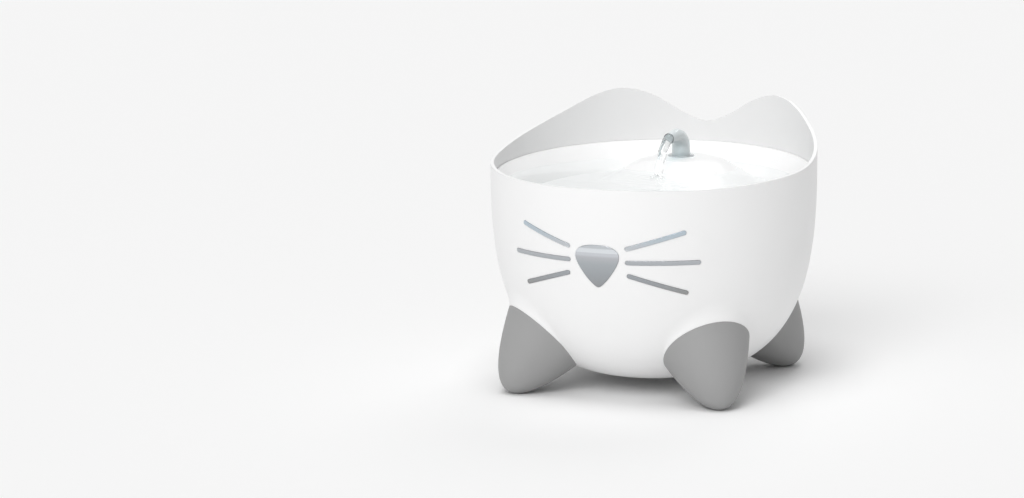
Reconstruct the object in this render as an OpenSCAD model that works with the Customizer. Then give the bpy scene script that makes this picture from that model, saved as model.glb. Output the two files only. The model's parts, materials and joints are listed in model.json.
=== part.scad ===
// Cat-faced water fountain for pets.  Millimetres, +Z up.
// Origin: on the floor, on the axis of the bowl.  The face looks along -Y.

/* [Bowl] */
// Outer radius of the bowl at its widest
bowl_r = 111; // [106:1:116]
// Thickness of the bowl's wall
bowl_wall = 2.6; // [2.2:0.1:3]
// Height of the bowl's underside above the floor
bowl_lift = 6.9; // [6:0.1:9]
// Height over which the wall rounds in to the underside
bowl_round_h = 152; // [148:1:156]
// Squareness of the bowl's side: 2 is a ball, more is fuller
bowl_fullness = 3; // [2.8:0.1:3.2]

/* [Rim and ears] */
// Height of the drinking edge at the front
rim_front_z = 149.3; // [148:0.1:152]
// Height of the two ear tips
ear_z = 186.2; // [179:0.1:194]
// Height of the dip between the ears
dip_z = 163.6; // [160:0.1:169]
// Direction of each ear, counted from the face
ear_angle = 150; // [146:1:154]

/* [Feet] */
// How far the middle of each leg's root lies inside the bowl's outer radius
leg_in = 28.5; // [27:0.5:30]
// Height of the leg root's centre
leg_z = 37.7; // [36:0.1:40]
// Radius of the seam between leg root and foot
leg_r = 30.3; // [28:0.1:31]
// Lean of the seam
leg_lean = 43.9; // [42:0.1:46]
// Reach of each foot's toe beyond the middle of its leg's root
toe_reach = 27.5; // [25:0.5:29]
// Width of the soft swelling round a leg root
leg_swell = 11; // [8:0.5:12]
// Radius of the spigot that a foot is pressed on
spigot_r = 8; // [6:0.5:9]
// Length of that spigot
spigot_len = 16; // [12:0.5:17]

/* [Face] */
// Half the width of the nose
nose_half = 15.2; // [13:0.2:17]
// Height of the middle of the nose
nose_z = 98.1; // [96:0.1:100]
// Height of the nose from its brow to its tip
nose_h = 28.6; // [26:0.2:30]
// Thickness of the nose and whisker inlays
inlay_t = 1.2; // [0.8:0.1:1.4]
// How far the inlays stand proud of the bowl
inlay_proud = 0.3; // [0.2:0.05:0.5]
// Width of a whisker
whisker_w = 2.8; // [2.4:0.1:3.2]

/* [Nose light] */
// Width of the light's sealed pocket
pocket_w = 46; // [44:1:50]
// Height of the pocket
pocket_h = 40; // [39:1:44]
// Thickness of the light's circuit board
board_t = 1.2; // [1:0.1:1.6]
// Thickness of the pocket's cover
cover_t = 2; // [1.6:0.1:2.4]

/* [Tray] */
// Height of the tray's edge on the bowl's axis
tray_z = 144.4; // [143.4:0.1:145]
// Slope of the tray towards the face
tray_tilt = 2.7; // [2:0.1:3]
// Thickness of the tray's wall
tray_wall = 2; // [1.6:0.1:2.2]
// Depth of the basin below the tray's edge
basin_depth = 17; // [15:0.5:18]
// Width of the flat lip round the basin
lip_w = 3; // [2:0.2:4]
// Height of the mound that carries the spout
mound_z = 146.3; // [145.7:0.1:147.3]
// Radius of the mound's flat top
mound_top_r = 18; // [16:0.5:20]
// Radius of the mound's foot
mound_foot_r = 66; // [62:1:68]
// Depth of the water over the drain's weir
weir_depth = 0.8; // [0.5:0.1:1.5]
// Level of the drinking water
water_z = 138.5; // [137.5:0.1:138.9]

/* [Spout] */
// Distance of the spout behind the bowl's axis
spout_y = 55; // [53:0.5:56]
// Outer radius of the spout's upright
spout_r = 6.5; // [6.2:0.1:6.7]
// Thickness of the spout's wall
spout_wall = 1.5; // [1.2:0.1:1.8]
// Height of the middle of the spout's mouth
mouth_z = 162.1; // [160:0.1:165]
// Reach of the spout's mouth in front of its upright
mouth_reach = 25; // [22:0.5:27]
// Outer radius of the mouth
mouth_r = 3.8; // [3.6:0.1:4.4]
// Radius of the collar's flange
collar_r = 9.2; // [9:0.1:10]

/* [Riser] */
// Outer radius of the riser tube
riser_r = 6; // [5.8:0.1:6.2]
// Inner radius of the riser tube
riser_bore_r = 4.6; // [4.5:0.05:4.8]

/* [Filter] */
// Room between the filter's collar and the nose light's cover
light_room = 9.5; // [9:0.5:12]
// Radius of the filter basket's rounded ends
basket_r = 20; // [18:0.5:20.5]
// Distance from the basket's middle to the centre of a rounded end
basket_half = 22; // [18:0.5:25]
// Height of the filter basket
basket_h = 24.5; // [22:0.5:28]
// Thickness of the basket's wall
basket_wall = 1.6; // [1.2:0.1:2]
// Share of the basket's depth that the foam pad fills
foam_share = 0.35; // [0.25:0.05:0.45]

/* [Pump] */
// Distance of the pump behind the bowl's axis
pump_y = 30; // [29:0.5:30.5]
// Outer radius of the motor housing
motor_r = 26; // [25:0.5:26.5]
// Height of the motor housing
motor_h = 28; // [27:0.5:30]
// Wall of the motor housing
motor_wall = 2; // [1.6:0.1:2.2]
// Height of a suction cup
cup_h = 5.5; // [5:0.25:6.5]
// Radius of a suction cup
cup_r = 6.5; // [5.5:0.25:7]
// Inner radius of the rotor's well
well_r = 9; // [8.6:0.1:9.4]
// Width of the motor's flange outside the impeller
flange_w = 11; // [11:0.5:13]
// Number of impeller blades
blades = 6; // [5:1:8]
// Radius of the rotor's shaft
shaft_r = 1.5; // [1.25:0.05:1.75]
// Height of the impeller chamber
chamber_h = 9.5; // [9:0.5:11]
// Outer radius of the pump's nozzle
nozzle_r = 4.3; // [4:0.05:4.35]
// Height of the strainer
strainer_h = 11; // [10:0.5:13]
// Radius of the strainer
strainer_r = 13.5; // [12.5:0.25:14]

/* [Leads] */
// Outer radius of the pump's lead
pump_lead_r = 1.9; // [1.6:0.05:2]
// Outer radius of the nose light's lead
nose_lead_r = 1.2; // [1:0.05:1.4]
// Height of the cable gland in the back wall
gland_z = 117; // [115:0.5:119]

/* [Hidden] */

eps = 0.01;               // overlap that lets two solids of one piece join
gap = 0.3;                // clearance between pieces that move apart
snug = 0.1;               // clearance between pieces that stay together
fit = 0.05;               // running clearance of a shaft in its bore
round_n = 96;             // facets of large round forms
small_n = 48;             // facets of small round forms
rim_steps = 120;          // steps round the bowl's edge
profile_steps = 26;       // steps up the bowl's wall

white = "#f2f2f1";
foot_grey = "#a4a4a4";
silver = "#b4bcc2";
clear = "#dfe8ec";
rubber = "#4a4c4f";
pump_white = "#dcdee0";
steel = "#b8bcc0";

// ---- Curves shared by several pieces ------------------------------------------

// Smooth step from 0 to 1
function ease(t) = let (c = min(max(t, 0), 1)) c * c * (3 - 2 * c);

// Point on a smooth curve through four neighbours
function blend4(a, b, c, d, t) =
    b + 0.5 * t * (c - a + t * (2 * a - 5 * b + 4 * c - d + t * (3 * (b - c) + d - a)));

// Smooth path through points, with n steps between neighbours
function smooth_path(p, n) =
    let (last = len(p) - 1)
    [for (i = [0 : last - 1]) for (k = [0 : i == last - 1 ? n : n - 1])
        blend4(p[max(i - 1, 0)], p[i], p[i + 1], p[min(i + 2, last)], k / n)];

// Cubic Bezier curve in n steps, without its last point
function bezier(a, b, c, d, n) =
    [for (k = [0 : n - 1]) let (t = k / n, s = 1 - t)
        s * s * s * a + 3 * s * s * t * b + 3 * s * t * t * c + t * t * t * d];

// ---- Bowl ---------------------------------------------------------------------

bowl_full_z = bowl_lift + bowl_round_h;      // above this the wall is upright
inner_r = bowl_r - bowl_wall;
inner_round_h = bowl_round_h - bowl_wall;
body_top = ear_z + 6;                        // blank height before the rim is cut

// Radius of a superellipse wall at height z
function wall_r(z, r, h) =
    z >= bowl_full_z ? r : r * pow(1 - pow((bowl_full_z - z) / h, bowl_fullness), 1 / bowl_fullness);
function outer_at(z) = wall_r(z, bowl_r, bowl_round_h);
function inner_at(z) = wall_r(z, inner_r, inner_round_h);

// Height of the inside of the bowl at distance d from its axis
function floor_at(d) =
    bowl_full_z - inner_round_h * pow(1 - pow(d / inner_r, bowl_fullness), 1 / bowl_fullness);

// Solid of revolution under the superellipse
module wall_solid(r, h) {
    curve = [for (k = [0 : profile_steps]) let (a = 90 * k / profile_steps)
        [r * pow(sin(a), 2 / bowl_fullness), bowl_full_z - h * pow(cos(a), 2 / bowl_fullness)]];
    rotate_extrude($fn = round_n)
        polygon(concat(curve, [[r, body_top], [0, body_top]]));
}

// Thin band that follows the outside of the wall between two heights
module wall_band(z0, z1, inward, outward) {
    n = 8;
    z = [for (k = [0 : n]) z0 + (z1 - z0) * k / n];
    rotate_extrude($fn = round_n)
        polygon(concat([for (h = z) [outer_at(h) + outward, h]],
                       [for (k = [n : -1 : 0]) [outer_at(z[k]) - inward, z[k]]]));
}

// The edge climbs from the face to each ear and falls into the dip behind.
// Stations: direction from the face, share of the climb from front rim to ear tip.
climb = [[0, 0], [35, -0.008], [62, 0.042], [85, 0.122], [103, 0.295],
         [122, 0.578], [140, 0.935], [ear_angle, 1]];
// Stations behind the ear tip: share of the way back, share of the fall into the dip.
fall = [[0.33, 0.226], [0.66, 0.695], [1, 1]];
rim_stations = concat(
    [for (s = climb) [s[0], rim_front_z + s[1] * (ear_z - rim_front_z)]],
    [for (s = fall) [ear_angle + s[0] * (180 - ear_angle), ear_z - s[1] * (ear_z - dip_z)]]);

// Slope at station i, level at both ends
function rim_slope(i) =
    i == 0 || i == len(rim_stations) - 1 ? 0
    : (rim_stations[i + 1][1] - rim_stations[i - 1][1]) / (rim_stations[i + 1][0] - rim_stations[i - 1][0]);

// Height of the edge in direction a, 0 to 180 degrees from the face
function rim_z(a) =
    let (i = max([for (k = [0 : len(rim_stations) - 2]) a >= rim_stations[k][0] ? k : 0]),
         p = rim_stations[i], q = rim_stations[i + 1], w = q[0] - p[0], t = (a - p[0]) / w,
         s = 1 - t)
    p[1] * s * s * (1 + 2 * t) + q[1] * t * t * (3 - 2 * t)
    + w * s * t * (rim_slope(i) * s - rim_slope(i + 1) * t);

// Direction vector, counted from the face towards +X
function heading(a) = [sin(a), -cos(a)];

// Everything above the edge, as a ring with a wavy underside
module above_rim() {
    inside = bowl_r - 12;
    outside = bowl_r + 8;
    top = body_top + 4;
    n = rim_steps;
    ring = [for (i = [0 : n - 1])
        let (a = 360 * i / n, v = heading(a), h = rim_z(min(a, 360 - a)))
        each [[inside * v.x, inside * v.y, h], [outside * v.x, outside * v.y, h],
              [outside * v.x, outside * v.y, top], [inside * v.x, inside * v.y, top]]];
    faces = [for (i = [0 : n - 1]) let (j = (i + 1) % n) for (k = [0 : 3]) let (m = (k + 1) % 4)
        each [[4 * i + k, 4 * i + m, 4 * j + m], [4 * i + k, 4 * j + m, 4 * j + k]]];
    polyhedron(points = ring, faces = faces, convexity = 8);
}

// Places children at the given direction from the face, with +X pointing outwards
module facing(a) rotate([0, 0, a - 90]) children();

leg_angles = [45, -45, 135, -135];           // front right, front left, rear right, rear left
leg_out = bowl_r - leg_in;
toe_out = leg_out + toe_reach;
leg_swell_depth = 0.9 * leg_swell;

// Frame of a leg's seam: its origin is the seam's centre and +Z points into the foot
module leg_frame() translate([leg_out, 0, leg_z]) rotate([0, 90 + leg_lean, 0]) children();

// White root of a leg, swelling softly out of the bowl
module leg_root() {
    n = 8;
    flare = [for (k = [0 : n]) let (a = 90 * k / n)
        [leg_r + leg_swell * (1 - cos(a)), -leg_swell_depth * sin(a) * k / n]];
    leg_frame()
        rotate_extrude($fn = round_n)
            polygon(concat([[0, 0]], flare, [[0, -leg_swell_depth]]));
}

rib_count = 6;
rib_t = 3;
rib_drop = 28;
rib_reach = lip_w + 1.2;

// Frame of the tray: its origin is the middle of the tray's edge plane
module tray_frame() translate([0, 0, tray_z]) rotate([tray_tilt, 0, 0]) children();

// Gussets on the inside of the wall that carry the tray's lip
module tray_ribs() {
    seat = tray_wall + gap;
    difference() {
        for (i = [0 : rib_count - 1])
            facing(30 + 360 * i / rib_count)
                rotate([90, 0, 0])
                    linear_extrude(rib_t, center = true)
                        polygon([[inner_r + 1, tray_z - seat - rib_drop - 8],
                                 [inner_r - 1, tray_z - seat - rib_drop],
                                 [inner_r - rib_reach, tray_z - seat - 8],
                                 [inner_r - rib_reach, tray_z + 8],
                                 [inner_r + 1, tray_z + 8]]);
        tray_frame()
            translate([0, 0, 20 - seat]) cube([3 * bowl_r, 3 * bowl_r, 40], center = true);
    }
}

seat_r = 22.5;
seat_z = floor_at(pump_y + 17) + 0.7;        // flat seat for the pump's suction cups
gland_wall_r = outer_at(gland_z);
gland_hole_r = 5;
gland_flange_r = 7.5;
gland_flange_t = 1.2;
gland_sink = 1;

// Pocket of the nose light: plates are drawn in X-Z and stand at a depth y
pocket_y = inner_at(nose_z) - 9.5;           // distance of the pocket's rim from the axis
gasket_t = 0.8;
cover_screw_r = 1.25;
cover_screw_in = 4;

// Plate drawn in X-Z, from depth y outwards by t, in front of the axis
module face_plate(y, t) translate([0, -y, 0]) rotate([90, 0, 0]) linear_extrude(t) children();

// Rectangle with round corners
module rounded(w, h, r) {
    square([w, h - 2 * r], center = true);
    square([w - 2 * r, h], center = true);
    for (x = [-1, 1], y = [-1, 1])
        translate([x * (w / 2 - r), y * (h / 2 - r)]) circle(r, $fn = small_n);
}

// Positions of the cover's four screws
module at_cover_screws()
    for (x = [-1, 1], z = [-1, 1])
        translate([x * (pocket_w / 2 - cover_screw_in), nose_z + z * (pocket_h / 2 - cover_screw_in)])
            children();

// Outline of the nose, grown by g all round
function nose_outline(g) =
    let (w = nose_half + g, brow = nose_z + nose_h / 2 + g, tip = nose_z - nose_h / 2 - 1.4 * g,
         cheek = nose_z + 0.22 * nose_h, n = 8,
         right = concat(bezier([0, brow], [0.59 * w, brow], [w, brow - 0.07 * nose_h], [w, cheek], n),
                        bezier([w, cheek], [w, cheek - 0.19 * nose_h], [0.23 * w, tip], [0, tip], n),
                        [[0, tip]]))
    concat(right, [for (k = [len(right) - 2 : -1 : 1]) [-right[k].x, right[k].y]]);

// Whiskers lie on the wall as straight strokes.
// Each: name, middle along the wall, middle height, length, slope
upper = [2.6 * nose_half, nose_z + 0.63 * nose_h, 2.745 * nose_half, 16.3];
middle = [2.91 * nose_half, nose_z + 0.115 * nose_h, 3.26 * nose_half, 0];
lower = [2.625 * nose_half, nose_z - 0.402 * nose_h, 2.763 * nose_half, -16.9];

// One whisker's stroke, cut through the wall's surface from the outside
module whisker_stroke(w, side, grow) {
    half = w[2] / 2 - whisker_w / 2;
    facing(side * w[0] / outer_at(w[1]) * 180 / PI)
        translate([bowl_r - 12, 0, w[1]])
            rotate([90, 0, 90])
                linear_extrude(20)
                    rotate(side * w[3]) {
                        square([2 * half, whisker_w + 2 * grow], center = true);
                        for (s = [-1, 1])
                            translate([s * half, 0]) circle(whisker_w / 2 + grow, $fn = small_n);
                    }
}

module bowl() color(white) {
    difference() {
        union() {
            difference() {
                union() {
                    wall_solid(bowl_r, bowl_round_h);
                    for (a = leg_angles) facing(a) leg_root();
                }
                wall_solid(inner_r, inner_round_h);
            }
            for (a = leg_angles)
                facing(a) leg_frame() translate([0, 0, -1])
                    cylinder(h = spigot_len + 1, r = spigot_r, $fn = small_n);
            intersection() {
                wall_solid(bowl_r - 1, bowl_round_h - 1);
                union() {
                    tray_ribs();
                    translate([0, pump_y, 0]) cylinder(h = seat_z, r = seat_r, $fn = round_n);
                    translate([0, 0, nose_z])
                        face_plate(pocket_y, 30) rounded(pocket_w, pocket_h, cover_screw_in);
                }
            }
        }
        above_rim();
        // pocket behind the nose, stopping at the wall, with a bush round each screw
        intersection() {
            face_plate(pocket_y - 1, 30)
                difference() {
                    translate([0, nose_z]) rounded(pocket_w - 6, pocket_h - 6, 1);
                    at_cover_screws() circle(2 * cover_screw_r, $fn = small_n);
                }
            wall_solid(inner_r, inner_round_h);
        }
        face_plate(pocket_y - 1, 8)
            at_cover_screws() circle(cover_screw_r - 0.2, $fn = small_n);
        // recess for the nose, and the window that its light shines through
        intersection() {
            face_plate(bowl_r - 20, 30) polygon(nose_outline(snug));
            wall_band(nose_z - nose_h, nose_z + nose_h, inlay_t - inlay_proud + snug, 5);
        }
        face_plate(bowl_r - 20, 30) polygon(nose_outline(-3));
        // recesses for the whiskers
        intersection() {
            wall_band(nose_z - 30, nose_z + 36, inlay_t - inlay_proud + snug, 5);
            for (w = [upper, middle, lower], side = [-1, 1]) whisker_stroke(w, side, snug);
        }
        // hole and spot face for the cable gland
        translate([0, gland_wall_r, gland_z]) rotate([90, 0, 0]) {
            cylinder(h = 20, r = gland_hole_r, center = true, $fn = small_n);
            translate([0, 0, gland_sink - 20]) cylinder(h = 20, r = gland_flange_r + snug, $fn = small_n);
        }
    }
}

// ---- Feet ---------------------------------------------------------------------

foot_flat = 0.45;                            // how far the sole is flattened
foot_rise = leg_r * cos(leg_lean);
foot_sum = leg_z + foot_flat;
toe_z = leg_z - (foot_sum + sqrt(foot_sum * foot_sum - foot_rise * foot_rise)) / 2;

// Slanted cone with a round nose, from the seam to the toe.  Its lowest point lies
// foot_flat below the floor, whatever the leg's size, and the sole is cut off there.
module foot_form() {
    around = 40;
    rings = 11;
    up = [sin(leg_lean), 0, cos(leg_lean)];
    root = [leg_out, 0, leg_z];
    toe = [toe_out, 0, toe_z];
    points = concat(
        [for (i = [0 : rings - 1]) let (a = 90 * i / rings, k = sin(a) * sin(a))
            for (j = [0 : around - 1]) let (b = 360 * j / around)
                root + k * (toe - root) + cos(a) * leg_r * (cos(b) * up + sin(b) * [0, 1, 0])],
        [toe]);
    last = rings * around;
    faces = concat(
        [[for (j = [around - 1 : -1 : 0]) j]],
        [for (i = [0 : rings - 2], j = [0 : around - 1])
            let (a = i * around + j, b = i * around + (j + 1) % around)
            each [[a, b, b + around], [a, b + around, a + around]]],
        [for (j = [0 : around - 1]) [last - around + j, last - around + (j + 1) % around, last]]);
    polyhedron(points = points, faces = faces, convexity = 4);
}

module foot(a) color(foot_grey)
    facing(a)
        difference() {
            foot_form();
            wall_solid(bowl_r + snug, bowl_round_h + snug);
            leg_frame() translate([0, 0, -10])
                cylinder(h = spigot_len + 10.8, r = spigot_r + snug, $fn = small_n);
            translate([toe_out, 0, -10]) cube([200, 200, 20], center = true);
        }

module foot_front_right() foot(leg_angles[0]);
module foot_front_left() foot(leg_angles[1]);
module foot_rear_right() foot(leg_angles[2]);
module foot_rear_left() foot(leg_angles[3]);

// ---- Face ---------------------------------------------------------------------

module nose() color(silver)
    intersection() {
        face_plate(bowl_r - 20, 30) polygon(nose_outline(0));
        wall_band(nose_z - nose_h, nose_z + nose_h, inlay_t - inlay_proud, inlay_proud);
    }

module whisker(w, side) color(silver)
    intersection() {
        wall_band(w[1] - 14, w[1] + 14, inlay_t - inlay_proud, inlay_proud);
        whisker_stroke(w, side, 0);
    }

module whisker_right_upper() whisker(upper, 1);
module whisker_right_middle() whisker(middle, 1);
module whisker_right_lower() whisker(lower, 1);
module whisker_left_upper() whisker(upper, -1);
module whisker_left_middle() whisker(middle, -1);
module whisker_left_lower() whisker(lower, -1);

// ---- Nose light ---------------------------------------------------------------

board_y = pocket_y + 3.4;
cover_face_y = pocket_y - gasket_t - cover_t;  // inner face of the cover
boss_r = nose_lead_r + 1.8;                  // boss that the lead enters, pointing down
boss_y = pocket_y - gasket_t - snug - boss_r;
boss_z = nose_z - pocket_h / 2 + 1;
boss_h = 9;

// Circuit board with its lamps, standing on the four screw bushes' shoulders
module nose_light_board() color("#2f6b4f") {
    face_plate(board_y, board_t)
        difference() {
            translate([0, nose_z]) rounded(pocket_w - 7, pocket_h - 7, 1);
            at_cover_screws() circle(2 * cover_screw_r + snug, $fn = small_n);
        }
    for (x = [-7, 0, 7])
        translate([x, 0, nose_z + 3]) face_plate(board_y + board_t, 1) square([3.5, 2.8], center = true);
    face_plate(board_y - 2, 2) translate([0, nose_z - 8]) square([9, 5], center = true);
}

module nose_light_gasket() color(rubber)
    face_plate(pocket_y - gasket_t, gasket_t)
        difference() {
            translate([0, nose_z]) rounded(pocket_w, pocket_h, cover_screw_in);
            translate([0, nose_z]) rounded(pocket_w - 5, pocket_h - 15, 1);
            translate([0, nose_z]) rounded(pocket_w - 15, pocket_h - 5, 1);
            at_cover_screws() circle(cover_screw_r + snug, $fn = small_n);
        }

module nose_light_cover() color(white)
    difference() {
        union() {
            face_plate(cover_face_y, cover_t)
                translate([0, nose_z]) rounded(pocket_w, pocket_h, cover_screw_in);
            translate([0, -boss_y, boss_z]) cylinder(h = boss_h, r = boss_r, $fn = small_n);
        }
        face_plate(0, pocket_y) at_cover_screws() circle(cover_screw_r + snug, $fn = small_n);
        translate([0, -boss_y, boss_z - 1])
            cylinder(h = boss_h - 2, r = nose_lead_r + snug, $fn = small_n);
    }

module nose_cover_screws() color(steel) {
    face_plate(cover_face_y - 1.5, 1.5)
        at_cover_screws() difference() {
            circle(2.3, $fn = small_n);
            square([3, 0.6], center = true);
            square([0.6, 3], center = true);
        }
    face_plate(cover_face_y - eps, 7) at_cover_screws() circle(cover_screw_r - 0.25, $fn = small_n);
}

// ---- Cable gland and leads ----------------------------------------------------

gland_bore_r = pump_lead_r + 0.3;
gland_inner_y = inner_at(gland_z - gland_flange_r) - 0.5;

module cable_gland() color(rubber) {
    outer_y = gland_wall_r - gland_sink;
    rotate([-90, 0, 0]) translate([0, -gland_z, 0])
        difference() {
            union() {
                translate([0, 0, outer_y + snug])
                    cylinder(h = gland_flange_t, r = gland_flange_r, $fn = small_n);
                translate([0, 0, gland_inner_y - 1.6])
                    cylinder(h = outer_y - gland_inner_y + 2, r = gland_hole_r - snug, $fn = small_n);
                translate([0, 0, gland_inner_y - 1.6]) cylinder(h = 1.6, r = 7, $fn = small_n);
            }
            translate([0, 0, gland_inner_y - 20]) cylinder(h = 60, r = gland_bore_r, $fn = small_n);
        }
}

// Round lead along a path that runs mostly in Y and Z
module lead(path, r, sides = 8) {
    p = smooth_path(path, 4);
    n = len(p);
    points = [for (i = [0 : n - 1])
        let (d = p[min(i + 1, n - 1)] - p[max(i - 1, 0)], side = cross(d, [1, 0, 0]),
             u = side / norm(side), v = cross(d, u) / norm(d))
        for (k = [0 : sides - 1]) let (a = 360 * k / sides) p[i] + r * (cos(a) * u + sin(a) * v)];
    faces = concat(
        [[for (k = [0 : sides - 1]) k]],
        [for (i = [0 : n - 2], k = [0 : sides - 1])
            let (a = i * sides + k, b = i * sides + (k + 1) % sides)
            each [[a, b + sides, b], [a, a + sides, b + sides]]],
        [[for (k = [sides - 1 : -1 : 0]) (n - 1) * sides + k]]);
    polyhedron(points = points, faces = faces, convexity = 6);
}

pump_base_z = seat_z + cup_h;
motor_top_z = pump_base_z + motor_h;

lead_room = 6.5;                             // distance of the leads' middle from the bowl's inside

module nose_lead() color(rubber) {
    start_z = boss_z + 3;
    wall_zs = [0.57 * nose_z, 0.39 * nose_z];
    floor_rs = [0.52 * inner_r, 0.33 * inner_r];
    motor_front = pump_y - motor_r - 2 * snug;
    low_z = pump_base_z + 6;
    lead(concat([for (drop = [0, 5, 10]) [0, -boss_y, start_z - drop]],
                [for (z = wall_zs) [0, lead_room - inner_at(z), z]],
                [for (r = floor_rs) [0, -r, floor_at(r) + lead_room]],
                [[0, motor_front - 20, low_z - 2.4]],
                [for (away = [9, 4, 0]) [0, motor_front - away, low_z]]), nose_lead_r);
}

module pump_lead() color(rubber) {
    start_y = pump_y + motor_r + 2 * snug;
    low_z = pump_base_z + 9;
    end_y = gland_inner_y - 2.2;
    wall_zs = [0.48 * gland_z, 0.68 * gland_z, 0.86 * gland_z];
    lead(concat([for (away = [0, 3, 6]) [0, start_y + away, low_z]],
                [[0, start_y + 14, low_z + 4]],
                [for (z = wall_zs) [0, inner_at(z) - 1.2 * lead_room, z]],
                [[0, end_y - 5.5, gland_z - 6], [0, end_y - 4.3, gland_z - 1.6],
                 [0, end_y - 2.2, gland_z], [0, end_y, gland_z]]), pump_lead_r);
}

// ---- Pump ---------------------------------------------------------------------

base_t = 2;                                  // thickness of the motor's base plate
well_wall = 1.2;
well_floor_z = pump_base_z + 7.5;            // inside of the well's floor
cup_spread = 14;

module at_pump(z) translate([0, pump_y, z]) children();

module suction_cups() color(clear)
    for (a = [45 : 90 : 315])
        at_pump(seat_z) rotate(a) translate([cup_spread, 0, 0])
            rotate_extrude($fn = small_n)
                polygon([[cup_r, fit], [cup_r - 0.6, 1.2], [2.6, 3], [2.6, cup_h - fit], [1.8, cup_h - fit],
                         [1.8, cup_h + base_t - 0.4], [0, cup_h + base_t - 0.4], [0, 2.2],
                         [cup_r - 1.6, fit]]);

module motor_base() color(pump_white)
    difference() {
        union() {
            at_pump(pump_base_z) cylinder(h = base_t, r = motor_r - motor_wall - snug, $fn = round_n);
            for (a = [0, 120, 240])
                at_pump(pump_base_z + base_t - eps) rotate(a) translate([19, 0, 0])
                    cylinder(h = 1.6, r = 2, $fn = small_n);
        }
        for (a = [45 : 90 : 315])
            at_pump(pump_base_z - 1) rotate(a) translate([cup_spread, 0, 0])
                cylinder(h = base_t + 0.8, r = 1.8 + snug, $fn = small_n);
    }

board_z = pump_base_z + base_t + 1.6 + fit;

module driver_board() color("#2f6b4f") {
    at_pump(board_z) cylinder(h = 1.2, r = motor_r - motor_wall - 1.6, $fn = round_n);
    for (a = [40, 100, 190, 290])
        at_pump(board_z + 1.2 - eps) rotate(a) translate([15.5, 0, 0.5]) cube([4, 5, 1], center = true);
}

stator_z = well_floor_z + 0.5;
stator_h = 14;
stator_r = motor_r - motor_wall - 1.4;
poles = 6;
pole_w = 4.6;
pole_start = well_r + well_wall + snug;

module stator_core() color(steel)
    at_pump(stator_z + 3)
        linear_extrude(stator_h - 6)
            difference() {
                union() {
                    difference() {
                        circle(stator_r, $fn = round_n);
                        circle(stator_r - 4, $fn = round_n);
                    }
                    for (k = [0 : poles - 1])
                        rotate(360 * k / poles)
                            translate([pole_start + (stator_r - 2 - pole_start) / 2, 0])
                                square([stator_r - 2 - pole_start, pole_w], center = true);
                }
                circle(pole_start, $fn = round_n);
            }

module stator_coils() color("#b5733a")
    for (k = [0 : poles - 1])
        at_pump(stator_z) rotate(360 * k / poles)
            difference() {
                translate([pole_start + 1.6, -pole_w / 2 - 1.6, 0])
                    cube([stator_r - 4 - pole_start - 2.2, pole_w + 3.2, stator_h]);
                translate([0, -pole_w / 2 - snug, 3 - snug])
                    cube([motor_r, pole_w + 2 * snug, stator_h - 6 + 2 * snug]);
            }

seal_in = motor_r - 7.8;
seal_out = motor_r - 6;
flange_r = motor_r - 0.6;
flange_t = 2.5;
screw_ring_r = motor_r - 3;

// Positions of the volute cover's three screws
module at_volute_screws()
    for (a = [30, 150, 270]) rotate(a) translate([screw_ring_r, 0]) children();

module motor_housing() color(pump_white)
    difference() {
        at_pump(pump_base_z)
            rotate_extrude($fn = round_n)
                polygon([[motor_r - motor_wall, 0], [motor_r - 0.8, 0], [motor_r, 0.8], [motor_r, motor_h],
                         [seal_out, motor_h], [seal_out, motor_h - 1.1], [seal_in, motor_h - 1.1],
                         [seal_in, motor_h], [well_r, motor_h], [well_r, well_floor_z - pump_base_z],
                         [0, well_floor_z - pump_base_z], [0, well_floor_z - pump_base_z - well_wall],
                         [well_r + well_wall, well_floor_z - pump_base_z - well_wall],
                         [well_r + well_wall, motor_h - motor_wall - 1],
                         [motor_r - motor_wall, motor_h - motor_wall - 1]]);
        at_pump(motor_top_z - 2) linear_extrude(4) at_volute_screws() circle(1.05, $fn = small_n);
    }

module volute_seal() color(rubber)
    at_pump(motor_top_z - 1.1 + fit)
        rotate_extrude($fn = round_n)
            polygon([[seal_in + snug, 0], [seal_out - snug, 0], [seal_out - snug, 1], [seal_in + snug, 1]]);

impeller_r = motor_r - flange_w;
chamber_r = impeller_r + 2;
cover_r = chamber_r + 3.4;
roof_t = 2.5;
roof_z = motor_top_z + chamber_h;            // underside of the chamber's roof
cover_top_z = roof_z + roof_t;
inlet_r = 8.5;
bush_r = shaft_r + 1.7;
duct_z = motor_top_z + chamber_h / 2 + 0.6;
duct_r = 3.6;
nozzle_wall = 1.3;
nozzle_rise = 28;
nozzle_top_z = cover_top_z + nozzle_rise;

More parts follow.
